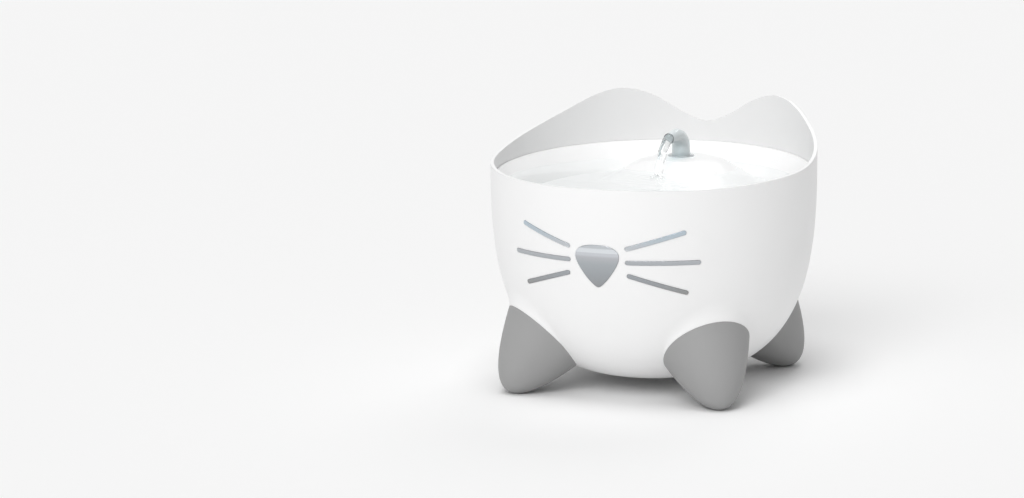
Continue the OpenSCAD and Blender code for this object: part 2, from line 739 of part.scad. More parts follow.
module volute_cover() color(pump_white)
    difference() {
        union() {
            at_pump(motor_top_z + fit) cylinder(h = flange_t, r = flange_r, $fn = round_n);
            at_pump(motor_top_z + fit)
                cylinder(h = cover_top_z - motor_top_z - fit, r = cover_r, $fn = round_n);
            // raised ring that the strainer clips over
            at_pump(cover_top_z - eps) cylinder(h = 2.6, r = strainer_r - 1.5 - gap, $fn = round_n);
            translate([0, pump_y + 8, duct_z]) rotate([-90, 0, 0])
                cylinder(h = spout_y - pump_y - 8, r = duct_r + 1.6, $fn = small_n);
            translate([0, spout_y, motor_top_z + fit])
                cylinder(h = cover_top_z - motor_top_z - 2, r = duct_r + 2, $fn = small_n);
            translate([0, spout_y, duct_z]) cylinder(h = nozzle_top_z - duct_z, r = nozzle_r, $fn = small_n);
        }
        at_pump(motor_top_z - 1) cylinder(h = chamber_h + 1, r = chamber_r, $fn = round_n);
        at_pump(roof_z - 1)
            linear_extrude(20)
                difference() {
                    circle(inlet_r, $fn = round_n);
                    circle(bush_r + 1.4, $fn = small_n);
                    for (a = [0, 120, 240]) rotate(a) translate([0, -0.9]) square([inlet_r + 1, 1.8]);
                }
        at_pump(cover_top_z) cylinder(h = 20, r = inlet_r, $fn = round_n);
        at_pump(roof_z - 1) cylinder(h = 20, r = bush_r + snug, $fn = small_n);
        translate([0, pump_y + 10, duct_z]) rotate([-90, 0, 0])
            cylinder(h = spout_y - pump_y - 10, r = duct_r, $fn = small_n);
        translate([0, spout_y, duct_z]) sphere(duct_r, $fn = small_n);
        translate([0, spout_y, duct_z])
            cylinder(h = nozzle_top_z - duct_z + 1, r = nozzle_r - nozzle_wall, $fn = small_n);
        // groove for the nozzle's seal
        translate([0, spout_y, nozzle_top_z - 6]) difference() {
            cylinder(h = 1.6, r = nozzle_r + 1, $fn = small_n);
            translate([0, 0, -1]) cylinder(h = 4, r = nozzle_r - 0.8, $fn = small_n);
        }
        at_pump(motor_top_z - 1) linear_extrude(flange_t + 2) at_volute_screws() circle(1.4, $fn = small_n);
    }

module volute_screws() color(steel)
    at_pump(0) {
        translate([0, 0, motor_top_z + flange_t + 2 * fit]) linear_extrude(1.6)
            at_volute_screws() difference() {
                circle(2.2, $fn = small_n);
                square([2.8, 0.6], center = true);
                square([0.6, 2.8], center = true);
            }
        translate([0, 0, motor_top_z - 1.8]) linear_extrude(flange_t + 1.8 + 3 * fit)
            at_volute_screws() circle(1, $fn = small_n);
    }

module nozzle_seal() color(rubber)
    translate([0, spout_y, nozzle_top_z - 5.2])
        rotate_extrude($fn = small_n)
            translate([(riser_bore_r + nozzle_r - 0.8) / 2, 0])
                circle((riser_bore_r - nozzle_r + 0.8) / 2 - fit, $fn = 24);

// Two contacts that feel the water and switch the nose light
module level_probes() color(steel)
    for (x = [-1, 1])
        at_pump(motor_top_z + flange_t + 2 * fit) rotate(270 + 30 * x) translate([screw_ring_r, 0, 0]) {
            cylinder(h = 1.4, r = 1.9, $fn = small_n);
            cylinder(h = 9, r = 1.1, $fn = small_n);
        }

bush_h = 1.4;
rotor_z = well_floor_z + bush_h + gap;
magnet_h = motor_top_z - rotor_z - 3;
sleeve_r = shaft_r + 1.5;

module shaft_bush(z, h, r) color(rubber)
    at_pump(z) difference() {
        cylinder(h = h, r = r, $fn = small_n);
        translate([0, 0, -1]) cylinder(h = h + 2, r = shaft_r + fit, $fn = small_n);
    }
module shaft_bush_lower() shaft_bush(well_floor_z + fit, bush_h, bush_r);
module shaft_bush_upper() shaft_bush(roof_z + 0.2, roof_t, bush_r);

module rotor_shaft() color("#e8e6df")
    at_pump(well_floor_z + fit) cylinder(h = roof_z + roof_t - well_floor_z, r = shaft_r, $fn = small_n);

module rotor_magnet() color(rubber)
    at_pump(rotor_z) difference() {
        cylinder(h = magnet_h, r = well_r - 0.7, $fn = small_n);
        translate([0, 0, -1]) cylinder(h = magnet_h + 2, r = sleeve_r + fit, $fn = small_n);
    }

// Sleeve through the magnet, a disc, and curved blades on it
module impeller() color("#7d8c99") {
    disc_z = motor_top_z + 1;
    blade_h = chamber_h - 4;
    difference() {
        union() {
            at_pump(rotor_z) cylinder(h = disc_z - rotor_z + 1, r = sleeve_r, $fn = small_n);
            at_pump(disc_z) cylinder(h = 1.2, r = impeller_r, $fn = round_n);
            at_pump(disc_z) cylinder(h = 1.2 + blade_h, r = sleeve_r + 0.8, $fn = small_n);
            at_pump(disc_z + 1)
                linear_extrude(blade_h)
                    for (k = [0 : blades - 1])
                        rotate(360 * k / blades)
                            intersection() {
                                translate([0, impeller_r * 0.55]) difference() {
                                    circle(impeller_r * 0.62, $fn = small_n);
                                    circle(impeller_r * 0.62 - 1.1, $fn = small_n);
                                }
                                translate([0, -impeller_r * 0.1]) square([impeller_r, impeller_r * 0.8]);
                                circle(impeller_r - 0.2, $fn = small_n);
                            }
        }
        at_pump(rotor_z - 1) cylinder(h = 60, r = shaft_r + fit, $fn = small_n);
    }
}

strainer_z = cover_top_z + gap;
strainer_wall = 1.5;
strainer_slots = 18;
dial_z = strainer_z + strainer_h + gap;
windows = 4;

// Four windows that the dial opens and closes
module dial_windows()
    for (k = [0 : windows - 1])
        rotate(360 * k / windows)
            intersection() {
                difference() {
                    circle(strainer_r - 4, $fn = small_n);
                    circle(4, $fn = small_n);
                }
                polygon([[0, 0], [20, 0], [20, 20 * tan(38)]]);
            }

module strainer() color(pump_white)
    difference() {
        union() {
            at_pump(strainer_z) cylinder(h = strainer_h, r = strainer_r, $fn = round_n);
            at_pump(strainer_z) cylinder(h = 1, r = strainer_r + 3, $fn = round_n);
            at_pump(strainer_z) cylinder(h = strainer_h + 2.6, r = 2, $fn = small_n);
        }
        difference() {
            at_pump(strainer_z - 1)
                cylinder(h = strainer_h - 0.5, r = strainer_r - strainer_wall, $fn = round_n);
            at_pump(strainer_z + 3.2) cylinder(h = strainer_h, r = 3, $fn = small_n);
        }
        for (k = [0 : strainer_slots - 1])
            at_pump(strainer_z + 3.4) rotate(360 * k / strainer_slots)
                translate([strainer_r - 4, -0.8, 0]) cube([6, 1.6, strainer_h - 6]);
        at_pump(strainer_z + strainer_h - 3) linear_extrude(6) dial_windows();
    }

module sponge_ring() color("#9aa3a8")
    at_pump(strainer_z + 1.1) difference() {
        cylinder(h = strainer_h - 1.6, r = strainer_r + 2.8, $fn = round_n);
        translate([0, 0, -1]) cylinder(h = strainer_h + 2, r = strainer_r + snug, $fn = round_n);
    }

module flow_dial() color("#7d8c99")
    at_pump(dial_z) difference() {
        union() {
            cylinder(h = 1.4, r = strainer_r - 2, $fn = round_n);
            cylinder(h = 4.5, r = 3.6, $fn = small_n);
            translate([-strainer_r + 3.5, -1, 0]) cube([2 * strainer_r - 7, 2, 4]);
        }
        translate([0, 0, -1]) linear_extrude(8) difference() {
            dial_windows();
            square([2 * strainer_r, 3], center = true);
        }
        translate([0, 0, -1]) cylinder(h = 4, r = 2 + fit, $fn = small_n);
    }

// ---- Tray ---------------------------------------------------------------------

tray_r = inner_r - gap;
basin_r = tray_r - lip_w;                    // where the basin's side leaves the lip
side_w = 16;                                 // width of the basin's rounded side
mound_base = tray_z - basin_depth + spout_y * sin(tray_tilt);
mound_back = spout_y + 45;                   // centre of the mound's steeper front
mound_front_r = 64;
socket_wall = 2.4;
collar_bore_r = spout_r + snug + 1.4 + fit;
collar_seat_h = 7.5;
socket_floor_z = mound_z - 19;               // where the spout's foot stops
socket_web = 2;
socket_bottom_z = socket_floor_z - socket_web - 12;
weir_r = 15;

// Basin in the tray's frame: lip, rounded side and flat floor, t below the top face
function basin_curve(t) =
    let (n = 8)
    concat([[bowl_r, -t], [basin_r - 0.4 * t, -t]],
           [for (k = [1 : n]) let (a = 90 * k / n)
               [basin_r - 0.4 * t - side_w * sin(a) * (0.25 + 0.75 * k / n), -t - basin_depth * (1 - cos(a))
                * 0.6 - basin_depth * 0.4 * k / n]],
           [[0, -t - basin_depth]]);

// Everything under the basin's top face, down to a flat bottom
module under_basin(t)
    tray_frame()
        rotate_extrude($fn = round_n)
            polygon(concat(basin_curve(t), [[0, -60], [bowl_r, -60]]));

// Drop of the mound's flank at share u of its width
function flank(u) = u - 0.6 * sin(360 * u) / (2 * PI);

// Mound: a flat top with a smooth flank, cut steeper towards the face
module mound_solid(t) {
    n = 9;
    depth = mound_z - mound_base + 3;
    intersection() {
        translate([0, spout_y, mound_z - t])
            rotate_extrude($fn = round_n)
                polygon(concat([[0, -60], [0, 0]],
                    [for (k = [0 : n]) let (u = k / n)
                        [mound_top_r - 0.3 * t + (mound_foot_r - mound_top_r) * u, -depth * flank(u)]],
                    [[mound_foot_r - 0.3 * t, -60]]));
        translate([0, mound_back, mound_z])
            rotate_extrude($fn = round_n)
                polygon([[0, 1], [mound_front_r - 0.7 * t, 1],
                         [mound_front_r - 0.7 * t + 60, -62], [0, -62]]);
    }
}

// Outline of the basket, grown by g
module basket_outline(g) {
    square([2 * basket_half, 2 * (basket_r + g)], center = true);
    for (x = [-1, 1]) translate([x * basket_half, 0]) circle(basket_r + g, $fn = small_n);
}

filter_collar_t = 1.8;
filter_y = cover_face_y - light_room - filter_collar_t - gap - basket_r;

module at_filter(z) translate([0, -filter_y, z]) children();

function tray_under(y) = tray_z + y * tan(tray_tilt) - (basin_depth + tray_wall) / cos(tray_tilt);
basket_top_z = tray_under(-filter_y - basket_r) - 1;
basket_z = basket_top_z - basket_h;
filter_collar_h = 9;

module tray() color(white)
    difference() {
        union() {
            // shell of basin and mound, cut to the bowl's inside
            intersection() {
                difference() {
                    union() {
                        under_basin(0);
                        mound_solid(0);
                    }
                    under_basin(tray_wall);
                    mound_solid(tray_wall);
                }
                translate([0, 0, mound_z - 3 * basin_depth])
                    cylinder(h = 4 * basin_depth, r = tray_r, $fn = round_n);
            }
            // socket that holds collar, spout and riser
            translate([0, spout_y, socket_bottom_z])
                cylinder(h = mound_z - socket_bottom_z, r = collar_bore_r + socket_wall, $fn = small_n);
            // weir round the drain
            at_filter(tray_under(-filter_y))
                cylinder(h = water_z - weir_depth - tray_under(-filter_y), r = weir_r + 1.8, $fn = small_n);
            // collar under the drain that holds the filter basket
            intersection() {
                at_filter(basket_top_z - filter_collar_h)
                    linear_extrude(filter_collar_h + 6) difference() {
                        basket_outline(gap + filter_collar_t);
                        basket_outline(gap);
                    }
                under_basin(0);
            }
        }
        translate([0, spout_y, mound_z - collar_seat_h]) cylinder(h = 40, r = collar_bore_r, $fn = small_n);
        translate([0, spout_y, socket_floor_z]) cylinder(h = 40, r = spout_r + snug, $fn = small_n);
        translate([0, spout_y, socket_bottom_z - 1]) cylinder(h = 60, r = riser_bore_r, $fn = small_n);
        translate([0, spout_y, socket_bottom_z - 1])
            cylinder(h = socket_floor_z - socket_web - socket_bottom_z + 1, r = riser_r + fit, $fn = small_n);
        // well of the drain, and the slots in its floor
        at_filter(tray_under(-filter_y) + tray_wall + 1) cylinder(h = 30, r = weir_r, $fn = small_n);
        at_filter(0) linear_extrude(tray_z) drain_slots();
    }

slot_w = 2.4;
slot_pitch = 5;

// Parallel slots with round ends, inside the weir
module drain_slots()
    for (k = [-2 : 2]) {
        half = sqrt(pow(weir_r - 3, 2) - pow(k * slot_pitch, 2)) - slot_w / 2;
        translate([k * slot_pitch, 0]) square([slot_w, 2 * half], center = true);
        for (s = [-1, 1]) translate([k * slot_pitch, s * half]) circle(slot_w / 2, $fn = 24);
    }

riser_top_z = socket_floor_z - socket_web - fit;
riser_bottom_z = nozzle_top_z - 14;

module riser_tube() color(clear)
    translate([0, spout_y, riser_bottom_z]) difference() {
        cylinder(h = riser_top_z - riser_bottom_z, r = riser_r, $fn = small_n);
        translate([0, 0, -1]) cylinder(h = riser_top_z - riser_bottom_z + 2, r = riser_bore_r, $fn = small_n);
    }

// ---- Filter -------------------------------------------------------------------

basket_floor = 1.6;
inside_h = basket_h - basket_floor - 1;
foam_h = inside_h * foam_share;

module filter_basket() color(pump_white)
    difference() {
        at_filter(basket_z) linear_extrude(basket_h) basket_outline(0);
        at_filter(basket_z + basket_floor) linear_extrude(basket_h) basket_outline(-basket_wall);
        // slots in the floor
        for (k = [-7 : 7])
            at_filter(basket_z - 1) translate([k * 4.6, 0, 0])
                linear_extrude(4) {
                    reach = basket_r - 4 - max(0, abs(k * 4.6) - basket_half) * 0.75;
                    square([2.2, 2 * reach - 2.2], center = true);
                    for (s = [-1, 1]) translate([0, s * (reach - 1.1)]) circle(1.1, $fn = 24);
                }
        // windows in the two long sides, below the tray's collar
        for (k = [-3 : 3])
            at_filter(basket_z + 4) translate([k * 6.4, 0, (basket_h - filter_collar_h - 7) / 2])
                cube([4, 4 * basket_r, basket_h - filter_collar_h - 7], center = true);
    }

module filter_cartridge() color("#e9e9e4")
    at_filter(basket_z + basket_floor + fit)
        linear_extrude(inside_h - foam_h - fit) basket_outline(-basket_wall - snug);

module filter_foam() color("#6f8fa6")
    at_filter(basket_z + basket_floor + inside_h - foam_h + fit)
        linear_extrude(foam_h) basket_outline(-basket_wall - snug);

// ---- Collar and spout ---------------------------------------------------------

collar_flange_t = 1;

module spout_collar() color(clear)
    translate([0, spout_y, mound_z + gap])
        rotate_extrude($fn = small_n)
            polygon([[spout_r + snug, 0.2 - collar_seat_h], [collar_bore_r - fit, 0.2 - collar_seat_h],
                     [collar_bore_r - fit, 0], [collar_r, 0], [collar_r, collar_flange_t * 0.6],
                     [collar_r - 0.5, collar_flange_t], [spout_r + snug, collar_flange_t]]);

spout_foot_z = socket_floor_z + gap;
bend_start_z = mouth_z - 9.5;
upright_top_z = mound_z + 3;
seal_zs = [spout_foot_z + 3, spout_foot_z + 7];

// Centre line and radius of the spout's bend, from the upright to the mouth
bend_steps = 10;
function bend_point(u) =
    let (a = 90 * min(u / 0.62, 1), run = mouth_reach * 0.5)
    [0,
     spout_y - run * (1 - cos(a)) - max(0, u - 0.62) / 0.38 * (mouth_reach - run),
     bend_start_z + (mouth_z - bend_start_z) * sin(a)];
function bend_radius(u) = spout_r + (mouth_r - spout_r) * ease(u);

// Tube that sweeps along the bend, narrowing towards the mouth
module bend_tube() {
    sides = 28;
    n = bend_steps;
    m = n + 2;
    skin = 0.15;                             // the bend starts this far inside the upright's wall
    steps = concat([[spout_y, upright_top_z - 0.6]],
                   [for (i = [0 : n]) let (p = bend_point(i / n)) [p.y, p.z]]);
    radii = concat([spout_r], [for (i = [0 : n]) bend_radius(i / n)]);
    points = [for (inset = [skin, spout_wall - skin], i = [0 : m - 1])
        let (d = steps[min(i + 1, m - 1)] - steps[max(i - 1, 0)], u = [0, d.y, -d.x] / norm(d))
        for (k = [0 : sides - 1]) let (a = 360 * k / sides)
            [0, steps[i].x, steps[i].y] + (radii[i] - inset) * (cos(a) * [1, 0, 0] + sin(a) * u)];
    inner = m * sides;
    end = (m - 1) * sides;
    faces = concat(
        [for (i = [0 : m - 2], k = [0 : sides - 1])
            let (a = i * sides + k, b = i * sides + (k + 1) % sides)
            each [[a, b + sides, b], [a, a + sides, b + sides],
                  [inner + a, inner + b, inner + b + sides],
                  [inner + a, inner + b + sides, inner + a + sides]]],
        [for (k = [0 : sides - 1]) let (j = (k + 1) % sides)
            each [[k, j, inner + j], [k, inner + j, inner + k],
                  [end + j, end + k, inner + end + k], [end + j, inner + end + k, inner + end + j]]]);
    polyhedron(points = points, faces = faces, convexity = 6);
}

seal_out_r = spout_r + snug - fit;           // seals just touch the socket
seal_in_r = spout_r - 0.9 + fit;

module spout() color(clear) {
    difference() {
        translate([0, spout_y, spout_foot_z])
            cylinder(h = upright_top_z - spout_foot_z, r = spout_r, $fn = small_n);
        translate([0, spout_y, spout_foot_z - 1]) cylinder(h = 60, r = spout_r - spout_wall, $fn = small_n);
        // grooves for the two seals
        for (z = seal_zs)
            translate([0, spout_y, z - 0.8]) difference() {
                cylinder(h = 1.6, r = spout_r + 1, $fn = small_n);
                translate([0, 0, -1]) cylinder(h = 4, r = spout_r - 0.9, $fn = small_n);
            }
    }
    bend_tube();
}

module spout_seals() color(rubber)
    for (z = seal_zs)
        translate([0, spout_y, z])
            rotate_extrude($fn = small_n)
                translate([(seal_out_r + seal_in_r) / 2, 0]) circle((seal_out_r - seal_in_r) / 2, $fn = 24);

// ---- Assembly -----------------------------------------------------------------

bowl();
foot_front_right();
foot_front_left();
foot_rear_right();
foot_rear_left();
nose();
whisker_right_upper();
whisker_right_middle();
whisker_right_lower();
whisker_left_upper();
whisker_left_middle();
whisker_left_lower();
nose_light_board();
nose_light_gasket();
nose_light_cover();
nose_cover_screws();
cable_gland();
nose_lead();
pump_lead();
suction_cups();
motor_base();
motor_housing();
stator_core();
stator_coils();
driver_board();
shaft_bush_lower();
rotor_shaft();
shaft_bush_upper();
volute_seal();
volute_cover();
volute_screws();
level_probes();
nozzle_seal();
rotor_magnet();
impeller();
strainer();
sponge_ring();
flow_dial();
tray();
riser_tube();
filter_basket();
filter_cartridge();
filter_foam();
spout_collar();
spout();
spout_seals();
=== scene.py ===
import json
import math

import bmesh
import bpy
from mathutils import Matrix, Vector, noise

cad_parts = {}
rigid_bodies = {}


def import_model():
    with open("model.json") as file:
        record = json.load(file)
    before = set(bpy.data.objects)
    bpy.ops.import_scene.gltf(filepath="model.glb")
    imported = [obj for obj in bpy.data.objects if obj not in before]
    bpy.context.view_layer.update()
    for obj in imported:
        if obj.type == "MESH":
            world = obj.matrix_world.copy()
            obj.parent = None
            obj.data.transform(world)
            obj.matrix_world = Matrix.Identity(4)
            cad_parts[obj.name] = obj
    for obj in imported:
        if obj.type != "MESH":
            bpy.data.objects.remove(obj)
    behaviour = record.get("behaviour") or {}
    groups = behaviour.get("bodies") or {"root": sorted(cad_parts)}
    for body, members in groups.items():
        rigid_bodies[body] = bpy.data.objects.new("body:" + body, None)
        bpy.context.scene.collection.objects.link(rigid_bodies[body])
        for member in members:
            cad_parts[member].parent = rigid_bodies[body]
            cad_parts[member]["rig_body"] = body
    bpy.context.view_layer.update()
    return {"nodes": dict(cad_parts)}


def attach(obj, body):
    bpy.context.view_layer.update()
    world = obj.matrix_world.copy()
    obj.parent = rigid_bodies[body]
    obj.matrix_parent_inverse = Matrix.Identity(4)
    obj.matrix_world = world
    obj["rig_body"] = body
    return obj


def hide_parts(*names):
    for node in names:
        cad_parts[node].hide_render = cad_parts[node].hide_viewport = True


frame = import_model()
nodes = frame["nodes"]

MM = 0.001


# ---- Stage ----------------------------------------------------------------------------
# A pale matte table without an edge in even white surroundings.  Two broad soft lamps, one
# overhead and one in front of the face, a weak low one at its left and a weak one behind.

def linear(code):
    """sRGB hex colour as linear RGBA"""
    parts = [int(code[i:i + 2], 16) / 255 for i in (1, 3, 5)]
    return tuple(c / 12.92 if c <= 0.04045 else ((c + 0.055) / 1.055) ** 2.4 for c in parts) + (1.0,)


def add_node(tree, kind, settings=None, inputs=None):
    """One node: settings are its properties, inputs are values or the sockets that feed it"""
    node = tree.nodes.new(kind)
    for name, value in (settings or {}).items():
        setattr(node, name, value)
    for name, value in (inputs or {}).items():
        if isinstance(value, bpy.types.NodeSocket):
            tree.links.new(value, node.inputs[name])
        else:
            node.inputs[name].default_value = value
    return node


def new_material(name):
    """Material with an empty node tree and its output"""
    material = bpy.data.materials.new(name)
    material.use_nodes = True
    material.node_tree.nodes.clear()
    output = material.node_tree.nodes.new("ShaderNodeOutputMaterial")
    return material, material.node_tree, output


def mesh_object(name, points, faces, material, smooth=True):
    """Object at the origin, made of points and faces"""
    mesh = bpy.data.meshes.new(name)
    mesh.from_pydata([tuple(p) for p in points], [], faces)
    mesh.validate()
    mesh.polygons.foreach_set("use_smooth", [smooth] * len(mesh.polygons))
    mesh.materials.append(material)
    piece = bpy.data.objects.new(name, mesh)
    bpy.context.scene.collection.objects.link(piece)
    return piece


AIM = Vector((0, 0, 88.9 * MM))
CAMERA_TURN = math.radians(20.0)
CAMERA_RISE = math.radians(10.69)
CAMERA_AWAY = 2.4172
camera_back = Vector((math.sin(CAMERA_TURN) * math.cos(CAMERA_RISE),
                      -math.cos(CAMERA_TURN) * math.cos(CAMERA_RISE),
                      math.sin(CAMERA_RISE)))
camera_data = bpy.data.cameras.new("camera")
camera_data.sensor_width = 36.0
camera_data.lens = 124.59
camera_data.shift_x = -0.1385
camera_data.shift_y = 0.0022
camera_data.clip_start = 0.1
camera_data.clip_end = 30.0
camera = bpy.data.objects.new("camera", camera_data)
camera.location = AIM + camera_back * CAMERA_AWAY
camera.rotation_mode = "QUATERNION"
camera.rotation_quaternion = (-camera_back).to_track_quat("-Z", "Y")
bpy.context.scene.collection.objects.link(camera)
bpy.context.scene.camera = camera
bpy.context.scene.view_settings.view_transform = "Standard"

# Matte paper without any gloss, pale enough to run into the backdrop
paper, tree, output = new_material("white_paper")
matte = add_node(tree, "ShaderNodeBsdfDiffuse", inputs={"Color": linear("#F7F7F7")})
tree.links.new(matte.outputs[0], output.inputs["Surface"])
floor = mesh_object("floor", [(-8, -8, 0), (8, -8, 0), (8, 8, 0), (-8, 8, 0)], [(0, 1, 2, 3)], paper, False)

SURROUNDINGS = 0.345                            # light from all round, against a white of 1
world = bpy.data.worlds.new("studio")
bpy.context.scene.world = world
world.use_nodes = True
tree = world.node_tree
tree.nodes.clear()
output = tree.nodes.new("ShaderNodeOutputWorld")
rays = add_node(tree, "ShaderNodeLightPath")
direct = add_node(tree, "ShaderNodeMath", {"operation": "MAXIMUM"},
                  {0: rays.outputs["Is Camera Ray"], 1: rays.outputs["Is Glossy Ray"]})
direct = add_node(tree, "ShaderNodeMath", {"operation": "MAXIMUM"},
                  {0: direct.outputs[0], 1: rays.outputs["Is Transmission Ray"]})
surroundings = add_node(tree, "ShaderNodeBackground",
                        inputs={"Color": linear("#FFFFFF"), "Strength": SURROUNDINGS})
backdrop = add_node(tree, "ShaderNodeBackground", inputs={"Color": linear("#F5F5F5"), "Strength": 1.0})
mixed = add_node(tree, "ShaderNodeMixShader",
                 inputs={0: direct.outputs[0], 1: surroundings.outputs[0], 2: backdrop.outputs[0]})
tree.links.new(mixed.outputs[0], output.inputs["Surface"])


def add_lamp(name, turn, rise, softness, strength):
    """Distant soft lamp; turn counts from the face towards +X, rise from the table"""
    data = bpy.data.lights.new(name, "SUN")
    data.angle = math.radians(softness)
    data.energy = strength
    lamp = bpy.data.objects.new(name, data)
    turn, rise = math.radians(turn), math.radians(rise)
    away = Vector((math.sin(turn) * math.cos(rise), -math.cos(turn) * math.cos(rise), math.sin(rise)))
    lamp.rotation_mode = "QUATERNION"
    lamp.rotation_quaternion = away.to_track_quat("Z", "Y")
    bpy.context.scene.collection.objects.link(lamp)


add_lamp("lamp_top", 0, 80, 30, 1.02)
add_lamp("lamp_face", 2, 40, 30, 0.99)
add_lamp("lamp_low", -15, 15, 40, 0.40)
add_lamp("lamp_back", 180, 45, 30, 0.38)


# ---- Bowl -----------------------------------------------------------------------------
# One white ABS moulding: reservoir, ears, leg roots, ribs and the nose light's pocket.
# The mould's fine spark-eroded grain gives it a satin skin with soft, broad highlights.

def moulded_plastic(name, colour, roughness, grain_mm=0.3, grain=0.05, edge_mm=0.0):
    """Moulded polymer: fine grain, slight differences in gloss, and soft edges where edge_mm is given"""
    material, tree, output = new_material(name)
    place = add_node(tree, "ShaderNodeTexCoord")
    fine = add_node(tree, "ShaderNodeTexNoise",
                    inputs={"Vector": place.outputs["Object"], "Scale": 1000 / grain_mm, "Detail": 2.0})
    broad = add_node(tree, "ShaderNodeTexNoise",
                     inputs={"Vector": place.outputs["Object"], "Scale": 40.0, "Detail": 3.0})
    gloss = add_node(tree, "ShaderNodeMapRange",
                     inputs={"Value": broad.outputs[0],
                             "To Min": roughness - 0.04, "To Max": roughness + 0.04})
    bump = add_node(tree, "ShaderNodeBump",
                    inputs={"Strength": grain, "Distance": 0.1 * MM, "Height": fine.outputs[0]})
    if edge_mm:
        edge = add_node(tree, "ShaderNodeBevel", {"samples": 6}, {"Radius": edge_mm * MM})
        tree.links.new(edge.outputs[0], bump.inputs["Normal"])
    base = linear(colour)
    shade = add_node(tree, "ShaderNodeMixRGB", inputs={"Fac": broad.outputs[0], "Color1": base,
                                                       "Color2": tuple(0.975 * c for c in base[:3]) + (1.0,)})
    shader = add_node(tree, "ShaderNodeBsdfPrincipled",
                      inputs={"Base Color": shade.outputs[0], "Roughness": gloss.outputs[0],
                              "Normal": bump.outputs[0], "IOR": 1.53})
    tree.links.new(shader.outputs[0], output.inputs["Surface"])
    return material


def skin(node, material, crease=32.0, reshape=None, normal_at=None):
    """Merged copy of a CAD node with soft shading, standing for that node.  reshape works on the merged
    mesh; normal_at gives the true surface direction at a point, or None where it doesn't know it."""
    mesh = nodes[node].data.copy()
    form = bmesh.new()
    form.from_mesh(mesh)
    bmesh.ops.remove_doubles(form, verts=form.verts, dist=0.002 * MM)
    bmesh.ops.dissolve_degenerate(form, edges=form.edges, dist=0.002 * MM)
    if reshape:
        reshape(form)
    for face in form.faces:
        face.smooth = True
    for edge in form.edges:
        if len(edge.link_faces) != 2 or edge.calc_face_angle(0) > math.radians(crease):
            edge.smooth = False
    form.to_mesh(mesh)
    form.free()
    if normal_at:
        directions = [Vector(n.vector) for n in mesh.corner_normals]
        for face in mesh.polygons:
            for corner in face.loop_indices:
                true = normal_at(mesh.vertices[mesh.loops[corner].vertex_index].co / MM, face.normal)
                if true:
                    directions[corner] = true
        mesh.normals_split_custom_set(directions)
    mesh.materials.clear()
    mesh.materials.append(material)
    piece = bpy.data.objects.new(node + "_skin", mesh)
    mesh.name = node + "_skin"
    bpy.context.scene.collection.objects.link(piece)
    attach(piece, nodes[node]["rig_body"])
    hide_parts(node)
    return piece


BOWL_R = 111.0
BOWL_WALL = 2.6
WALL_TOP = 158.9
ROUND_H = 152.0


def wall_radius(z, inset=0.0):
    """Radius of the bowl's wall at height z, inset from its outside"""
    if z >= WALL_TOP:
        return BOWL_R - inset
    share = min(max((WALL_TOP - z) / (ROUND_H - inset), 0.0), 1.0)
    return (BOWL_R - inset) * (1 - share ** 3) ** (1 / 3)


def wall_side(point, inset=0.0):
    """Distance of a point outside the bowl's wall, and the direction straight away from the wall"""
    r = max(math.hypot(point.x, point.y), 0.001)
    u = r / (BOWL_R - inset)
    v = max((WALL_TOP - point.z) / (ROUND_H - inset), 0.0)
    size = (u ** 3 + v ** 3) ** (1 / 3)
    slope = Vector((point.x / r * u * u / (BOWL_R - inset), point.y / r * u * u / (BOWL_R - inset),
                    -v * v / (ROUND_H - inset))) / size ** 2
    return (size - 1) / slope.length, slope.normalized()


LEG_OUT, LEG_Z, LEG_R = 82.5, 37.7, 30.3
LEG_LEAN = math.radians(43.9)
LEG_SWELL = 11.0
FLARE_STEPS = 24
FLARE_TURNS = [math.pi / 2 * i / FLARE_STEPS for i in range(FLARE_STEPS + 1)]
FLARE = [(0.9 * LEG_SWELL * math.sin(a) * a / (math.pi / 2), LEG_R + LEG_SWELL * (1 - math.cos(a)))
         for a in FLARE_TURNS]                  # depth behind the foot's seam, radius there
ROOT_BLEND = 3.6                                # size of the soft join between root and wall
ROOT_EDGES = (6.0, 3.2, 1.8, 1.8)               # longest edge that each division there leaves whole
ROOT_LOW, ROOT_TOP, ROOT_NEAR = 8, 88, 45       # heights and least distance from the axis round the roots


def root_side(point):
    """Distance outside the leg root of this quarter, its direction, and the depth behind the foot's seam"""
    out = Vector((math.copysign(math.sqrt(0.5), point.x), math.copysign(math.sqrt(0.5), point.y), 0))
    axis = out * math.cos(LEG_LEAN) - Vector((0, 0, math.sin(LEG_LEAN)))
    offset = point - out * LEG_OUT - Vector((0, 0, LEG_Z))
    depth = -offset.dot(axis)
    radial = offset + axis * depth
    for low, high in zip(FLARE, FLARE[1:]):
        if high[0] >= depth:
            break
    lean = math.atan2(high[1] - low[1], high[0] - low[0])
    flare = low[1] + (depth - low[0]) * math.tan(lean)
    away = radial.normalized() * math.cos(lean) + axis * math.sin(lean)
    return (radial.length - flare) * math.cos(lean), away, depth


def outside(point):
    """Distance outside wall and roots joined softly, its direction, and the depth behind the seam"""
    wall, wall_way = wall_side(point)
    if wall < -1.0:
        return wall, wall_way, LEG_SWELL
    root, root_way, depth = root_side(point)
    if depth > 0.9 * LEG_SWELL:
        return wall, wall_way, depth
    angle = 1 - wall_way.dot(root_way)
    blend = ROOT_BLEND * min(max(depth / 5.0, 0.05), 1.0) * min(max(angle / 0.12, 0.02), 1.0)
    near = max(blend - abs(wall - root), 0.0) / blend
    if wall < root:
        way = wall_way * (1 - near / 2) + root_way * near / 2
    else:
        way = root_way * (1 - near / 2) + wall_way * near / 2
    return min(wall, root) - near * near * blend / 4, way.normalized(), depth


